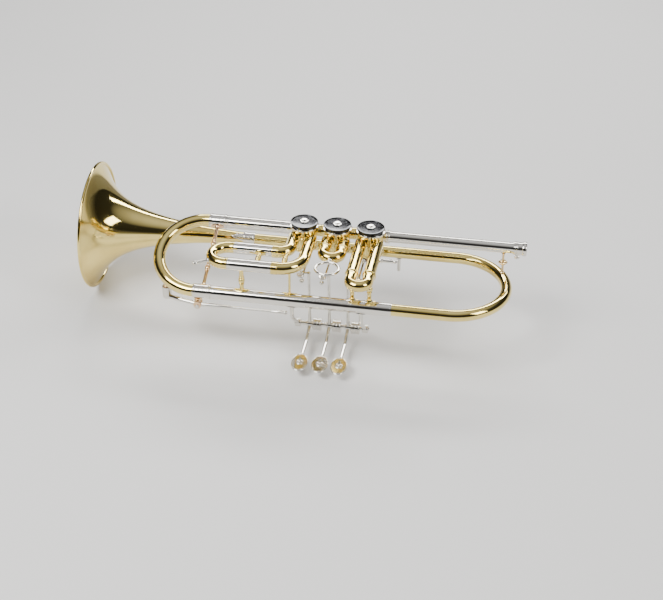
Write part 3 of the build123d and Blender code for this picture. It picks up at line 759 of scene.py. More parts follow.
class TRUMPET_OT_mouthpipe(TrumpetOperator, bpy.types.Operator):
    """Mouthpipe, its collar at the valves, and the receiver with its set screw"""
    bl_idname = "trumpet.mouthpipe"
    bl_label = "Mouthpipe"

    def execute(self, context):
        low, high = corners("mouthpipe")
        radius = (high[2] - low[2]) / 2
        tube = level(low[0] + 1, high[0] - 2, 0, 0, plain_outline(radius), ROUND, 90)
        piece("mouthpipe_tube", [tube], "nickel_silver", "horn", "mouthpipe")
        self.receiver()
        self.screw()
        return {"FINISHED"}

    def receiver(self):
        """The outside of the receiver and its flared ring, and back down the shank's bore."""
        low, high = corners("mouthpiece_receiver")
        span = RECEIVER_LENGTH
        ring_r = (high[2] - low[2]) / 2
        place = np.linspace(0, span, 150)
        beads = turned(RECEIVER_R, (bead, 0, 2.6, 0.8, 0.4), (bead, 0, 4.6, 0.6, 0.3),
                       (bead, 1, -2.2, 2.1, ring_r - RECEIVER_R))
        outside = beads(place, span) - 0.5 * (place < 1)
        mouth = np.linspace(0, 1, 12)
        along = np.concatenate([place, np.full(12, span), [span - 0.5, 2]]) / span
        lip = (RECEIVER_R - 0.4) * (1 - mouth) + (SHANK_R + 0.5) * mouth
        radius = np.concatenate([outside, lip, [SHANK_R, SHANK_R]])
        shell = lathe((-span, 0, 0), (0, 0, 0), along, radius)
        collar = level(low[0] + 1.4, low[0] + 6, 0, 0, ferrule_outline(6.7, 0.45), ROUND)
        piece("receiver_and_collar", [(shell, "loop"), collar], "nickel_silver", "horn",
              "mouthpiece_receiver")

    def screw(self):
        """A milled head: its radius waves round it."""
        low, high = corners("receiver_screw")
        x, y = centre("receiver_screw")[:2]
        shank = upright(x, y, high[2] - 0.2, low[2] + 1.8, plain_outline(1.5))
        head = upright(x, y, low[2] + 2.2, low[2], plain_outline(2.5), 72)
        head = waved(head, x, y, 1 + 0.035 * np.cos(18 * circle(72)))
        piece("receiver_set_screw", [shank, head], "nickel_silver", "horn", "receiver_screw", sharp=50)


class TRUMPET_OT_main_slide(TrumpetOperator, bpy.types.Operator):
    """Outer sleeves, ferrules, bow and cross stay of the main tuning slide"""
    bl_idname = "trumpet.main_slide"
    bl_label = "Main tuning slide"

    def execute(self, context):
        upper, lower = np.zeros(2), np.array([plan.near_y, plan.branch_z])
        left, right = plan.sleeve_left, {0: plan.upper_right - 1, 1: plan.joint_x}
        sleeves = [tube_ring((left, *leg), (right[n], *leg), plan.sleeve_r)
                   for n, leg in enumerate((upper, lower))]
        piece("upper_sleeve", sleeves[:1], "nickel_silver", "horn", "upper_main_sleeve")
        piece("lower_sleeve", sleeves[1:], "nickel_silver", "horn", "lower_main_sleeve")
        ferrules = [level(plan.left_x, plan.ferrule_right, *leg, ferrule_outline(plan.ferrule_r), ROUND, 160)
                    for leg in (upper, lower)]
        piece("slide_ferrules", ferrules, "nickel_silver", "main_slide", "main_slide_ferrules")
        bow = half_circle((plan.left_x, *upper), (plan.left_x, *lower), (-1, 0, 0), 150)
        path = joined(run((plan.left_x + 1, *upper), (plan.left_x, *upper), step=0.5), bow,
                      run((plan.left_x, *lower), (plan.left_x + 1, *lower), step=0.5))
        plane = np.cross((1, 0, 0), (0, *lower))
        wall = sweep(path, plan.main_tube_r, up=plane / np.linalg.norm(plane))
        piece("main_bow", [wall], "lacquered_brass", "main_slide", "main_slide_bow")
        self.cross_stay(upper, lower)
        return {"FINISHED"}

    def cross_stay(self, upper, lower):
        """A long turned stay with beads at its middle and quarters, on pointed feet."""
        x = (plan.left_x + plan.ferrule_right) / 2
        slant = np.array([0, *(lower - upper)])
        span = np.linalg.norm(slant)
        slant /= span
        edge = plan.ferrule_r - 0.6
        start = np.array([x, *upper]) + slant * edge
        end = np.array([x, *lower]) - slant * edge

        beads = ((0.5, 3.1, 1.5), (0.44, 1.0, 0.8), (0.56, 1.0, 0.8), (0.3, 2.5, 0.9), (0.7, 2.5, 0.9),
                 (0.25, 0.9, 0.5), (0.75, 0.9, 0.5))
        outline = turned(1.8, *((bead, share, 0, width, height) for share, width, height in beads),
                         (flare, None, 0, 1.2, 1.6))
        bar = turned_bar(start, end, outline, FINE, 260)
        feet = [saddle((x, *leg), (1, 0, 0), way * slant, plan.ferrule_r - 0.5, 5.2, 3.6,
                       0.9, 0.35) for leg, way in ((upper, 1), (lower, -1))]
        piece("cross_stay", [bar, *feet], "red_brass", "main_slide", "main_slide_brace")


class TRUMPET_OT_water_key(TrumpetOperator, bpy.types.Operator):
    """Water key: seat on the bow, forked post, pin, lever with its cup, cork and spring"""
    bl_idname = "trumpet.water_key"
    bl_label = "Water key"

    def execute(self, context):
        self.seat()
        self.post()
        self.lever()
        return {"FINISHED"}

    def seat(self):
        low, high = corners("water_key_seat")
        x, y = centre("water_key_seat")[:2]
        outline = turned(3.0, (flare, 0, 0, 1.1, 1.4), (bead, 1, -0.7, 0.7, 0.45))
        nipple = upright(x, y, high[2] - 0.6, low[2], outline, 40)
        piece("water_key_nipple", [nipple], "red_brass", "main_slide", "water_key_seat")

    def post(self):
        """A turned foot under the ferrule and two rounded ears that hold the pin."""
        y, z = plan.near_y, plan.branch_z - plan.ferrule_r + 0.8
        grids = [upright(plan.key_x, y, z, plan.key_z + 3.9,
                         turned(3.0, (flare, 0, 0, 0.9, 1.2), (bead, 1, -1.2, 1.2, 0.6)), 40)]
        turn = circle(48)
        middle = plan.key_z + 1.5
        edges = ((-0.8, 0.0), (-0.8, 0.93), (-0.6, 1.0), (0.6, 1.0), (0.8, 0.93), (0.8, 0.0))
        for way in (-1, 1):
            grids.append(np.stack([np.stack([plan.key_x + EAR_WIDE * scale * np.cos(turn),
                                             np.full(48, y + way * EAR_ASIDE + offset),
                                             middle + EAR_TALL * scale * np.sin(turn)], axis=-1)
                                   for offset, scale in edges]))
        piece("water_key_fork", grids, "red_brass", "main_slide", "water_key_post")
        low, high = corners("water_key_pin")

        def screw(place, span):
            edge = np.minimum(place, span - place)
            return 1.0 + 0.55 * (edge < 1.0)

        pin = turned_bar((plan.key_x, low[1], plan.key_z), (plan.key_x, high[1], plan.key_z), screw)
        middles = [(plan.key_x, plan.near_y + way * 4.8, plan.key_z) for way in (-1, 1)]
        coils = [(torus(middle, (0, 1, 0), 1.9, 0.3, 40, 10), "loop") for middle in middles]
        piece("water_key_screw", [pin, *coils], "nickel_silver", "main_slide", "water_key_pin")

    def lever(self):
        """A stout curved strap from the cork's cup to past the pivot, a thin arm and a ball."""
        cup_foot = corners("water_key_lever")[0][2]
        x, y, z = plan.seat_x, plan.seat_y, cup_foot + 2.0
        ahead = np.array([x + 14, plan.near_y + 3, plan.key_z + 1.6])
        pivot = np.array([plan.key_x, plan.near_y, plan.key_z])
        after = pivot + [26, 0, 0]
        tip = np.array([plan.key_tip_x, plan.near_y, plan.key_z])
        back = np.array([x, y, z]) * 0.8 + ahead * 0.2
        path = joined(run((x, y, z), back), corner((x, y, z), ahead, pivot, KEY_BEND),
                      corner(ahead, pivot, after, KEY_BEND), run(after, tip))
        gone = np.concatenate([[0], np.cumsum(np.linalg.norm(np.diff(path, axis=0), axis=1))])
        total = gone[-1]
        thick = 1.35 + 1.0 / (1 + np.exp((gone - 0.5 * total) / 3.5))
        thick += 0.45 / (1 + np.exp((total - 10 - gone) / 0.5))
        arm = sweep(path, thick, 28)
        cup = upright(x, y, cup_foot, plan.cork_top - 0.8, turned(4.6, (flare, 0, 0, 0.9, -1.4)), 48)
        boss = turned_bar(pivot - [0, 1.9, 0], pivot + [0, 1.9, 0], plain_outline(3.3), 48)
        knob = ball(tip, 2.1)
        piece("water_key_arm", [arm, cup, boss, knob], "nickel_silver", "water_key", "water_key_lever")
        low, high = corners("water_key_cork")
        pad = upright(x, y, low[2], high[2], plain_outline(3.5, 0.4), 40)
        piece("water_key_pad", [pad], "cork", "water_key", "water_key_cork")


class TRUMPET_OT_valves(TrumpetOperator, bpy.types.Operator):
    """Casings, top rings, dark caps with their screws, and the knuckles between them"""
    bl_idname = "trumpet.valves"
    bl_label = "Valves"

    def execute(self, context):
        shells, rings, caps, hubs = [], [], [], []
        for x, y in plan.valves:
            shells.append(self.casing(x, y))
            rings.append(self.ring(x, y))
            caps.append(self.cap(x, y))
            hubs.extend(self.hub(x, y))
        piece("valve_casings", shells, "lacquered_brass", "horn", "casings")
        piece("casing_top_rings", rings, "nickel_silver", "horn", "casing_rings")
        piece("dark_caps", caps, "black_nickel", "horn", "valve_caps")
        piece("cap_screws", hubs, "nickel_silver", "horn", "cap_hubs")
        swollen = turned(5.9, (flare, None, 0, 1.6, 0.9), (bead, 0.5, 0, 1.0, 0.35))
        gap = math.sqrt(plan.casing_r ** 2 - plan.port ** 2) - 1.2
        tubes = []
        for left, right in ((1, 0), (2, 1)):
            tubes.append(level(plan.valves[left][0] + gap, plan.valves[right][0] - gap, 0, 0, swollen, ROUND))
        piece("casing_knuckles", tubes, "lacquered_brass", "horn", "valve_knuckles")
        return {"FINISHED"}

    def casing(self, x, y):
        """A cylinder with a rolled foot, a waist bead and a step under the top ring."""
        outline = turned(plan.casing_r - 0.5, (bead, 0, 1.1, 1.1, 0.5), (bead, 0, 3.2, 0.7, 0.3),
                         (bead, 1, -1.0, 1.0, 0.45))
        return upright(x, y, plan.casing_low, plan.casing_high, outline, 72)

    def ring(self, x, y):
        low, high = corners("casing_rings")
        span = high[2] - low[2]
        place = np.linspace(0, span, 40)
        size = plan.ring_r - 0.35 + bead(place, span / 2, span / 2, 0.35)
        along, radius = closed_ends(place / span, size)
        return lathe((x, y, low[2]), (x, y, high[2]), along, radius, 96)

    def cap(self, x, y):
        """A milled edge, a rolled rim and a top that is turned to a shallow dish."""
        span = plan.cap_high - plan.cap_low
        edge = [0.0, 0.06, 0.12, 0.5, 0.62, 0.68, 0.8, 0.92, 0.985, 1.0]
        size = plan.cap_r - np.array([0.7, 0.3, 0.15, 0.15, 0.2, 0.5, 0.0, 0.0, 0.25, 0.7])
        dish = np.linspace(0, 1, 34)
        along = np.concatenate([[0.0], edge, 1.0 - 0.35 / span * (dish > 0.01)])
        radius = np.concatenate([[0.0], size, (plan.cap_r - 1.5) * (1 - dish)])
        shape = lathe((x, y, plan.cap_low), (x, y, plan.cap_high), along, radius, 180)
        milled = np.zeros(len(along))
        milled[3:5] = 1.0
        return waved(shape, x, y, 1 - 0.012 * milled[:, None] * (0.5 + 0.5 * np.cos(60 * circle(180))))

    def hub(self, x, y):
        """A raised boss with six scallops and a slotted screw in its middle."""
        low, high = corners("cap_hubs")
        boss = upright(x, y, low[2] - 0.4, low[2] + 1.0, plain_outline(4.2), 72)
        boss = waved(boss, x, y, 1 - 0.09 * (0.5 + 0.5 * np.cos(6 * circle(72))) ** 2)
        screw = upright(x, y, low[2] + 0.9, high[2], plain_outline(2.9), 48)
        slot = np.abs(screw[..., 1] - y) < 0.45
        screw[..., 2] -= 0.45 * slot * (screw[..., 2] > high[2] - 0.2)
        return [boss, screw]


class TRUMPET_OT_valve_slides(TrumpetOperator, bpy.types.Operator):
    """The three valve slides: sleeves, collars, elbows, bows, finger ring, knob and pin"""
    bl_idname = "trumpet.valve_slides"
    bl_label = "Valve slides"

    def execute(self, context):
        self.forward_slide(0, "first", plan.first_sleeve_y, plan.first_bow_y)
        self.forward_slide(1, "second", plan.second_sleeve_y, plan.second_bow_y)
        self.finger_ring()
        self.knob()
        self.third()
        self.collars()
        return {"FINISHED"}

    def forward_slide(self, number, name, sleeve_y, bow_y):
        """Two sleeves towards the front and the bow that closes them."""
        x, y = plan.valves[number]
        start_y = y - math.sqrt(plan.casing_r ** 2 - plan.port ** 2) + 1.5
        sleeves = [tube_ring((leg_x, start_y, 0), (leg_x, sleeve_y, 0), plan.loop_r)
                   for leg_x in (x - plan.port, x + plan.port)]
        piece(f"{name}_slide_sleeves", sleeves, "lacquered_brass", "horn", f"{name}_sleeves")
        ends = [(x + way * plan.port, bow_y, 0) for way in (1, -1)]
        gap_y = sleeve_y - 0.4
        path = joined(run((ends[0][0], gap_y, 0), ends[0], step=1),
                      half_circle(ends[0], ends[1], (0, -1, 0)),
                      run(ends[1], (ends[1][0], gap_y, 0), step=1))
        far = np.minimum(np.abs(path[:, 1] - gap_y), 9)
        radius = plan.loop_r - 0.3 + bead(far, 0.9, 0.9, 0.3)
        body = f"{name}_slide"
        piece(f"{name}_bow", [sweep(path, radius)], "lacquered_brass", body, f"{name}_slide_bow")

    def finger_ring(self):
        x = plan.valves[1][0]
        high = corners("second_slide_ring")[1]
        radius = plan.finger_ring_r - RING_WIRE_R
        ring = torus((x, plan.finger_ring_y, 0), (0, 0, 1), radius, RING_WIRE_R)
        stem = turned_bar((x, plan.finger_ring_y + radius - 0.8, 0), (x, high[1] - 0.3, 0),
                          turned(1.9, (bead, 0.5, 0, 0.9, 0.7), (flare, 1, 0, 0.8, 0.9)), 32)
        piece("second_slide_finger_ring", [(ring, "loop"), stem], "nickel_silver", "second_slide",
              "second_slide_ring")

    def knob(self):
        low, high = corners("first_slide_knob")
        x = centre("first_slide_knob")[0]
        outline = turned(1.2, (flare, 0, 0, 0.7, 0.7), (bead, 1, -2.4, 2.4, 1.4))
        knob = turned_bar((x, low[1], 0), (x, high[1], 0), outline, 32)
        piece("first_slide_button", [knob], "red_brass", "first_slide", "first_slide_knob")

    def third(self):
        x, y = plan.valves[2]
        start_y = y - math.sqrt(plan.casing_r ** 2 - plan.port ** 2) + 1.5
        elbows = []
        for way, leg_y, bend in ((1, plan.near_y, plan.near_elbow_r), (-1, plan.far_y, plan.far_elbow_r)):
            px = x + way * plan.port
            path = joined(run((px, start_y, 0), (px, leg_y + bend, 0)),
                          corner((px, start_y, 0), (px, leg_y, 0), (px - 2 * bend, leg_y, 0), bend, 48),
                          run((px - bend, leg_y, 0), (px - bend - 2, leg_y, 0), step=1))
            elbows.append(sweep(path, plan.loop_r))
        piece("third_slide_elbows", elbows, "lacquered_brass", "horn", "third_elbows")
        rights = (plan.near_turn - 2, x - plan.port - plan.far_elbow_r - 2)
        sleeves = [tube_ring((plan.third_sleeve_x, leg_y, 0), (right, leg_y, 0), plan.loop_r)
                   for leg_y, right in zip((plan.near_y, plan.far_y), rights)]
        piece("third_slide_sleeves", sleeves, "nickel_silver", "horn", "third_sleeves")
        lip_x = plan.third_x + 3.6
        far_end, near_end = (plan.third_x, plan.far_y, 0), (plan.third_x, plan.near_y, 0)
        path = joined(run((lip_x, plan.far_y, 0), far_end, step=0.41),
                      half_circle(far_end, near_end, (-1, 0, 0), 96),
                      run(near_end, (lip_x, plan.near_y, 0), step=0.41))
        reach = lip_x - path[:, 0]
        radius = plan.loop_r - 0.3 + bead(np.minimum(reach, 9), 0.9, 0.9, 0.3)
        piece("third_bow", [sweep(path, radius)], "lacquered_brass", "third_slide", "third_slide_bow")
        middle = np.array([plan.third_x, (plan.far_y + plan.near_y) / 2, 0])
        tip = np.array([*plan.pin_tip, 0])
        away = (tip - middle) / np.linalg.norm(tip - middle)
        start = middle + away * (plan.third_r + plan.loop_r - 0.5)
        pin = turned_bar(start, tip + away * 2.2,
                         turned(1.6, (flare, 0, 0, 0.8, 0.9), (bead, 1, -2.3, 2.3, 0.7)), 32)
        piece("third_slide_pull_pin", [pin], "nickel_silver", "third_slide", "third_slide_pin")

    def collars(self):
        grids = []
        x = plan.valves[0][0]
        for way in (-1, 1):
            leg_x = x + way * plan.port
            grids.append(turned_bar((leg_x, plan.first_sleeve_y + 3, 0), (leg_x, plan.first_sleeve_y, 0),
                                    plain_outline(6.7, 0.9), ROUND))
        far_turn = plan.valves[2][0] - plan.port - plan.far_elbow_r
        for leg_y, turn_x in ((plan.near_y, plan.near_turn), (plan.far_y, far_turn)):
            grids.append(turned_bar((turn_x - 6, leg_y, 0), (turn_x, leg_y, 0),
                                    plain_outline(6.35, 0.3), ROUND))
        piece("slide_collars", grids, "lacquered_brass", "horn", "sleeve_collars")


class TRUMPET_OT_stays(TrumpetOperator, bpy.types.Operator):
    """Turned stays on shaped feet, the flower stay under the mouthpipe, and the hooks"""
    bl_idname = "trumpet.stays"
    bl_label = "Stays"

    def execute(self, context):
        self.slide_stays()
        self.flower_stay()
        self.hooks()
        return {"FINISHED"}

    def slide_stays(self):
        """Upright stays down to the lower sleeve and two across the third slide."""
        top = -(plan.loop_r - 0.6)
        beaded = baluster_outline(1.75, 3.3, 3.0)
        posts = [(plan.third_x + UPRIGHT_X, 0.0, beaded),
                 (plan.valves[2][0] + PLAIN_STAY_X, PLAIN_STAY_Y, plain_outline(1.2))]
        posts += [(plan.valves[0][0] + way * plan.port, plan.first_sleeve_y - plan.near_y + 6.2, beaded)
                  for way in (-1, 1)]
        grids = []
        for x, aside, outline in posts:
            sink = 2.4 if aside > plan.sleeve_r else 1.0
            foot = plan.branch_z + plan.sleeve_r - sink
            y = plan.near_y + aside
            grids.append(upright(x, y, top, foot, outline, FINE, 200))
            lean = math.asin(min(aside / plan.sleeve_r, 0.9))
            out = (0.0, math.sin(lean), math.cos(lean))
            grids.append(saddle((x, plan.near_y, plan.branch_z), (1, 0, 0), out, plan.sleeve_r, 5.4,
                                3.6, 0.7, 0.45))
        gap_x, right_x = (plan.third_x + place for place in GAP_STAYS_X)
        near = plan.near_y + plan.loop_r
        for x, start, end in ((gap_x, plan.far_y - plan.loop_r + 0.6, near - 0.6),
                              (right_x, plan.far_y - 3.0, near - 0.4)):
            grids.append(turned_bar((x, start, 0), (x, end, 0), baluster_outline(1.5, 3.0, 2.9), FINE, 160))
        for leg_y, way in ((plan.far_y, -1), (plan.near_y, 1)):
            grids.append(saddle((gap_x, leg_y, 0), (1, 0, 0), (0, way, 0), plan.loop_r, 4.4, 3.2, 0.6, 0.3))
        piece("turned_stays", grids, "lacquered_brass", "horn", "slide_stays")

    def flower_stay(self):
        """A thin post through a small rosette of six petals."""
        low, high = corners("bow_brace")
        x, _, z = centre("bow_brace")
        post = upright(x, 0, high[2] - 0.3, low[2] + 0.3, turned(1.15, (flare, None, 0, 1.0, 1.5)), FINE)
        rosette = upright(x, 0, z - 1.9, z + 1.9, turned(0.4, (bead, 0.5, 0, 1.9, 4.2)), 72, 60)
        rosette = waved(rosette, x, 0, 1 - 0.16 * (0.5 + 0.5 * np.cos(6 * circle(72))) ** 2)
        piece("flower_stay", [post, rosette, ball((x, 0, z), 2.5)], "red_brass", "horn", "bow_brace")

    def hooks(self):
        """The finger hook on the first sleeve and the post under the bell branch."""
        low, high = corners("hooks")
        root_x = plan.valves[0][0] + plan.port + plan.loop_r - 0.6
        peg = turned(1.7, (bead, 0, 1.8, 1.9, 1.0), (bead, 1, -1.2, 1.2, 0.1), (groove, 1, -3, 0.2, 0.2))
        hook = level(root_x, high[0], HOOK_Y, 0, peg, 32)
        x, post_y, top = POST_X, plan.bell_y, plan.branch_z - plan.tube_r
        post = upright(x, post_y, top + 0.5, low[2],
                       turned(1.8, (flare, 0, 0, 1.0, 1.6), (flare, 1, 0, 0.3, -0.6)), 32)
        foot = saddle((x, post_y, plan.branch_z), (1, 0, 0), (0, 0, -1), plan.tube_r, 4.2, 2.6,
                      0.8, 0.1)
        piece("hook_and_post", [hook, post, foot], "nickel_silver", "horn", "hooks")


class TRUMPET_OT_levers(TrumpetOperator, bpy.types.Operator):
    """Finger levers, plates, shaft, spring barrels, brackets and links"""
    bl_idname = "trumpet.levers"
    bl_label = "Finger levers"

    def execute(self, context):
        press = next(joint for joint in frame["joints"] if joint["name"] == "lever_1_press")
        tilt = math.radians(press["range_deg"][1] / 2)
        self.rack()
        for number, x in enumerate(plan.lever_x, start=1):
            self.lever(number, x, tilt)
            self.plate(number, x, tilt)
            self.link(number)
        return {"FINISHED"}

    def rack(self):
        """The shaft between its brackets, with a drum round each coiled spring."""
        y, z = plan.shaft_y, plan.shaft_z
        shaft = level(plan.shaft_left, plan.shaft_right, y, z, plain_outline(2, 0.8), 32, 90)
        piece("lever_axle", [shaft], "nickel_silver", "horn", "lever_shaft")
        outline = turned(DRUM_R, (bead, 0, 0.8, 0.8, 0.4), (bead, 1, -0.8, 0.8, 0.4),
                         (groove, 0.5, 0, 0.3, 0.3))
        drums = [level(x + 3.5, x + 3.5 + DRUM_LENGTH, y, z, outline, 64, 120) for x in plan.lever_x]
        piece("spring_drums", drums, "nickel_silver", "horn", "spring_barrels")
        grids = []
        low, high = corners("shaft_brackets")
        for x in (low[0] + 5, high[0] - 5):
            knee = (x, plan.near_y, plan.branch_z - 20)
            start, end = (x, plan.near_y, plan.branch_z - 5.5), (x, y, z)
            path = joined(run(start, (x, plan.near_y, plan.branch_z - 14)), corner(start, knee, end, 12),
                          run(tuple(np.array(knee) * 0.7 + np.array(end) * 0.3), end))
            grids.append(sweep(path, 2.0, 28, up=ALONG))
            grids.append(level(x - 3, x + 3, y, z, plain_outline(4.2, 0.8), 40))
            grids.append(saddle((x, plan.near_y, plan.branch_z), (1, 0, 0), (0, 0, -1), plan.sleeve_r, 5,
                                4, 1.0, 0.3))
        piece("rack_brackets", grids, "nickel_silver", "horn", "shaft_brackets")

    def lever(self, number, x, tilt):
        """An upright rod and its cross arm with a ball pin, and a neck bent to the finger plate."""
        y, z = plan.shaft_y, plan.shaft_z
        low, high = corners(f"lever_{number}")
        pin_x = high[0] - 2.4 if number == 1 else low[0] + 2.4
        top = plan.link_z + 4.0
        hub = level(x - 3, x + 3, y, z, plain_outline(3.6, 0.6), 48)
        rod = upright(x, y, z, top + 1.1,
                      lambda place, span: 1.45 + flare((place - 3).clip(0), 0, 2.5, 0.7)
                      + bead(place, span - 1.2, 1.2, 0.5), 24, 160)
        arm = level(x, pin_x, y, top, plain_outline(1.05), 24)
        pin = upright(pin_x, y, top + 1.4, plan.link_z - 5.6, turned(1.05, (bead, 0, 1.2, 1.2, 0.6)), 24)
        head = ball((pin_x, y, plan.link_z - 6.4), BALL_R)
        points = [(x, y + ahead, z + rise) for ahead, rise in NECK]
        near = [tuple(np.array(a) * 0.5 + np.array(b) * 0.5) for a, b in zip(points[:-1], points[1:])]
        path = joined(run(points[0], near[0]), corner(points[0], points[1], points[2], 18),
                      run(near[1], near[1]), corner(points[1], points[2], points[3], 18),
                      run(near[2], points[3]))
        neck = sweep(path, 1.7, 24, up=ALONG)
        toe = ball(points[3], 1.7)
        foot_x, foot_y, foot_z = points[3]
        pad = upright(foot_x, foot_y, foot_z + 0.1, foot_z + 1.3,
                      lambda place, span: bead(place, 0, 1.05 * span, 4.2), 40)
        grids = [rotated(grid, y, z, tilt) for grid in (hub, rod, arm, pin, head, neck, toe, pad)]
        piece(f"finger_lever_rod_{number}", grids, "nickel_silver", f"finger_lever_{number}",
              f"lever_{number}")

    def plate(self, number, x, tilt):
        """An oval touch, domed below with a rolled edge: radii shrink by a quarter circle at the rim."""
        y, z = plan.shaft_y + NECK[-1][0], plan.shaft_z - PLATE_DROP
        turn = circle(96)
        edge = np.linspace(-np.pi / 2, np.pi / 2, 14)
        inner = np.linspace(0, 1, 16)[:-1]
        border = PLATE_EDGE / PLATE_WIDE
        flat = inner * (1 - border)
        size = np.concatenate([flat, 1 - (1 - np.cos(edge)) * border, flat[::-1]])
        under = 0.35 * (1 - inner ** 2)
        height = np.concatenate([0.1 + under, 1 + np.sin(edge) * 0.9, 1.9 - under[::-1] * 0.3])
        shape = np.stack([x + size[:, None] * PLATE_WIDE * np.cos(turn),
                          y + size[:, None] * PLATE_LONG * np.sin(turn),
                          z + height[:, None] + 0 * turn], axis=-1)
        piece(f"touch_plate_{number}", [rotated(shape, plan.shaft_y, plan.shaft_z, tilt)], "nickel_silver",
              f"finger_lever_{number}", f"finger_plate_{number}")

    def link(self, number):
        """A bar between the crank pin's eye and the slotted eye round the lever's pin."""
        low, high = corners(f"link_{number}")
        x, y = plan.valves[number - 1]
        side = 1 if number == 3 else -1
        crank = CRANK_R * math.cos(math.radians(45))
        crank_x, crank_y = x + side * crank, y - crank
        eye_y = low[1] + EYE_WIDE
        eye_x = low[0] + EYE_LONG if low[0] < crank_x - 3 else high[0] - EYE_LONG
        bar = turned_bar((crank_x, crank_y - 2.0, plan.link_z), (crank_x, eye_y + 2.3, plan.link_z),
                         plain_outline(1.15), 24)
        boss = self.ring_eye(crank_x, crank_y, 1.2, 2.4, 0.0)
        eye = self.ring_eye(eye_x, eye_y, 1.9, EYE_WIDE, EYE_LONG - EYE_WIDE)
        piece(f"valve_link_bar_{number}", [bar, (boss, "loop"), (eye, "loop")], "nickel_silver",
              f"valve_link_{number}", f"link_{number}")

    def ring_eye(self, x, y, inner, outer, stretch):
        """A flat eye: circles of the inner and outer radius, pulled apart along X by the stretch."""
        turn = circle(56)
        shift = stretch * np.sign(np.cos(turn)) * (np.abs(np.cos(turn)) > 1e-6)
        thick, eased = EYE_THICK, outer - 0.2
        outline = ((inner, -thick), (inner, thick), (eased, thick), (outer, 1.0), (outer, -1.0),
                   (eased, -thick))
        return np.stack([np.stack([x + shift + radius * np.cos(turn), y + radius * np.sin(turn),
                                   np.full(56, plan.link_z + height)], axis=-1)
                         for radius, height in outline])


class TRUMPET_OT_kept_parts(TrumpetOperator, bpy.types.Operator):
    """Gives every CAD node that is still shown the finish of its own material slot"""
    bl_idname = "trumpet.kept_parts"
    bl_label = "Kept parts"

    def execute(self, context):
        slots = {part["node"]: part["material_slot"] for part in frame["record"]["subparts"]}
        for name, node in frame["nodes"].items():
            if node.hide_render:
                continue
            node.data.materials.clear()
            node.data.materials.append(metal(slots[name]))
        return {"FINISHED"}


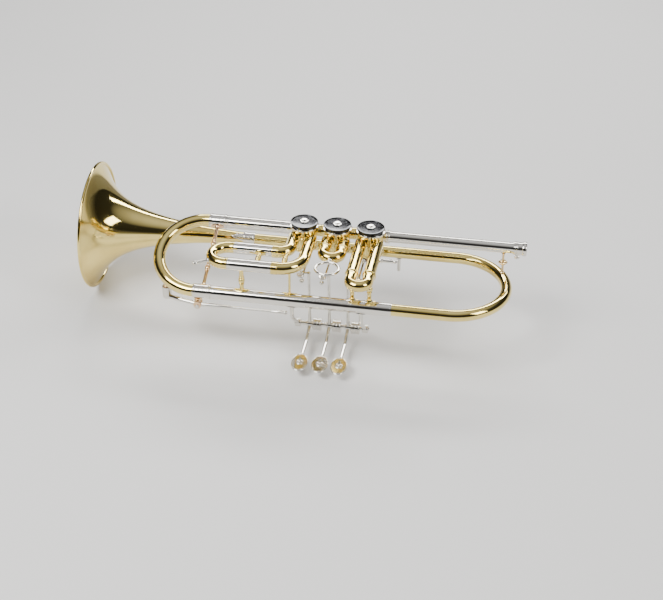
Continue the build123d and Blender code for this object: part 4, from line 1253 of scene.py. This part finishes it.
class TRUMPET_OT_stage(TrumpetOperator, bpy.types.Operator):
    """Pale floor, soft lights and the camera"""
    bl_idname = "trumpet.stage"
    bl_label = "Stage"

    def execute(self, context):
        studio = context.scene.trumpet_studio
        self.floor()
        self.world()
        self.lights(studio)
        self.camera(context, studio)
        return {"FINISHED"}

    def aim(self):
        """The middle of the valves, in metres."""
        return np.array([plan.valves[1][0], plan.valve_y, 0.0]) * MM

    def floor(self):
        """One large sheet under the lowest point that rises in a cosine sweep far behind."""
        level = CAD_BOX[0][2] - 0.2 * MM
        x = np.linspace(-6, 6, 40)
        y = np.linspace(-6, 6, 80)
        rise = 1.6 * (0.5 - 0.5 * np.cos(np.clip((y - 2.5) / 3, 0, 1) * np.pi))
        grid_x, grid_y = np.meshgrid(x, y)
        points = np.stack([grid_x, grid_y, level + np.broadcast_to(rise[:, None], grid_x.shape)], axis=-1)
        number = np.arange(80 * 40).reshape(80, 40)
        faces = np.stack([number[:-1, :-1], number[:-1, 1:], number[1:, 1:], number[1:, :-1]], axis=-1)
        mesh = bpy.data.meshes.new("studio_floor")
        mesh.from_pydata(points.reshape(-1, 3), [], faces.reshape(-1, 4).tolist())
        mesh.shade_smooth()
        mesh.materials.append(metal("studio_floor"))
        sheet = bpy.data.objects.new("studio_floor", mesh)
        bpy.context.collection.objects.link(sheet)

    def world(self):
        """A room that is dark at eye height and brighter overhead, so that polished tubes keep contrast."""
        world = bpy.data.worlds.new("studio")
        world.use_nodes = True
        bpy.context.scene.world = world
        tree = world.node_tree
        way = tree.nodes.new("ShaderNodeTexCoord")
        split = tree.nodes.new("ShaderNodeSeparateXYZ")
        ramp = tree.nodes.new("ShaderNodeValToRGB")
        tree.links.new(way.outputs["Generated"], split.inputs[0])
        tree.links.new(split.outputs["Z"], ramp.inputs[0])
        tree.links.new(ramp.outputs[0], tree.nodes["Background"].inputs["Color"])
        stops = ((0.0, 0.30), (0.08, 0.14), (0.2, 0.025), (0.62, 0.035), (0.85, 0.45), (1.0, 0.8))
        while len(ramp.color_ramp.elements) < len(stops):
            ramp.color_ramp.elements.new(0.5)
        for element, (place, shade) in zip(ramp.color_ramp.elements, stops):
            element.position = place
            element.color = (shade, shade, shade * 1.02, 1.0)

    def lights(self, studio):
        """A broad key from the upper left, a strip from behind and a weak fill from the right."""
        aim = self.aim()
        for name, place, size, power in (
                ("key", (-0.75, -0.75, 1.15), (0.9, 0.6), studio.key_power),
                ("back", (0.1, 1.25, 0.95), (1.6, 0.28), studio.key_power * 0.75),
                ("fill", (1.15, -0.55, 0.8), (0.5, 0.7), studio.key_power * 0.35)):
            lamp = bpy.data.lights.new(name, "AREA")
            lamp.shape = "RECTANGLE"
            lamp.size, lamp.size_y = size
            lamp.energy = power
            holder = bpy.data.objects.new(name, lamp)
            spot = aim + np.array(place)
            holder.location = spot
            toward = (aim - spot) / np.linalg.norm(aim - spot)
            holder.rotation_euler = direction(toward)
            bpy.context.collection.objects.link(holder)

    def camera(self, context, studio):
        """On a line back from a point below the valves, at the given azimuth and elevation."""
        turn, rise = studio.azimuth, studio.elevation
        back = np.array([math.sin(turn) * math.cos(rise), -math.cos(turn) * math.cos(rise), math.sin(rise)])
        right = np.array([math.cos(turn), math.sin(turn), 0.0])
        over = np.cross(back, right)
        lean = studio.roll
        right, over = (math.cos(lean) * right + math.sin(lean) * over,
                       math.cos(lean) * over - math.sin(lean) * right)
        aim = self.aim() - over * studio.aim_drop - right * studio.aim_left
        lens = bpy.data.cameras.new("camera")
        lens.lens = studio.lens
        lens.sensor_width = 36.0
        lens.clip_start, lens.clip_end = 0.05, 30.0
        eye = bpy.data.objects.new("camera", lens)
        spot = aim + back * studio.distance
        eye.matrix_world = Matrix([(*row, place) for row, place in
                                   zip(np.stack([right, over, back], axis=1), spot)] + [(0, 0, 0, 1)])
        context.collection.objects.link(eye)
        context.scene.camera = eye


def direction(toward):
    """The turn that points a lamp's -Z axis along a direction."""
    flat = math.hypot(toward[0], toward[1])
    return (math.atan2(flat, -toward[2]), 0.0, math.atan2(toward[1], toward[0]) - math.pi / 2)


class TRUMPET_PT_panel(bpy.types.Panel):
    """Lists the operators and settings"""
    bl_idname = "TRUMPET_PT_panel"
    bl_label = "Trumpet"
    bl_space_type = "VIEW_3D"
    bl_region_type = "UI"
    bl_category = "Trumpet"

    def draw(self, context):
        scene = context.scene
        for group in (scene.trumpet_sizes, scene.trumpet_finish, scene.trumpet_studio):
            for name in group.__annotations__:
                self.layout.prop(group, name)
        for operator in OPERATORS:
            self.layout.operator(operator.bl_idname)


GROUPS = (TRUMPET_PG_sizes, TRUMPET_PG_finish, TRUMPET_PG_studio)
OPERATORS = (TRUMPET_OT_bell, TRUMPET_OT_branch, TRUMPET_OT_mouthpipe, TRUMPET_OT_main_slide,
             TRUMPET_OT_water_key, TRUMPET_OT_valves, TRUMPET_OT_valve_slides, TRUMPET_OT_stays,
             TRUMPET_OT_levers, TRUMPET_OT_kept_parts, TRUMPET_OT_stage)


def register():
    for item in (*GROUPS, *OPERATORS, TRUMPET_PT_panel):
        bpy.utils.register_class(item)
    bpy.types.Scene.trumpet_sizes = bpy.props.PointerProperty(type=TRUMPET_PG_sizes)
    bpy.types.Scene.trumpet_finish = bpy.props.PointerProperty(type=TRUMPET_PG_finish)
    bpy.types.Scene.trumpet_studio = bpy.props.PointerProperty(type=TRUMPET_PG_studio)


def unregister():
    for name in ("trumpet_sizes", "trumpet_finish", "trumpet_studio"):
        delattr(bpy.types.Scene, name)
    for item in reversed((*GROUPS, *OPERATORS, TRUMPET_PT_panel)):
        bpy.utils.unregister_class(item)


def main():
    register()
    for operator in OPERATORS:
        group, name = operator.bl_idname.split(".")
        getattr(getattr(bpy.ops, group), name)()


if __name__ == "__main__":
    main()
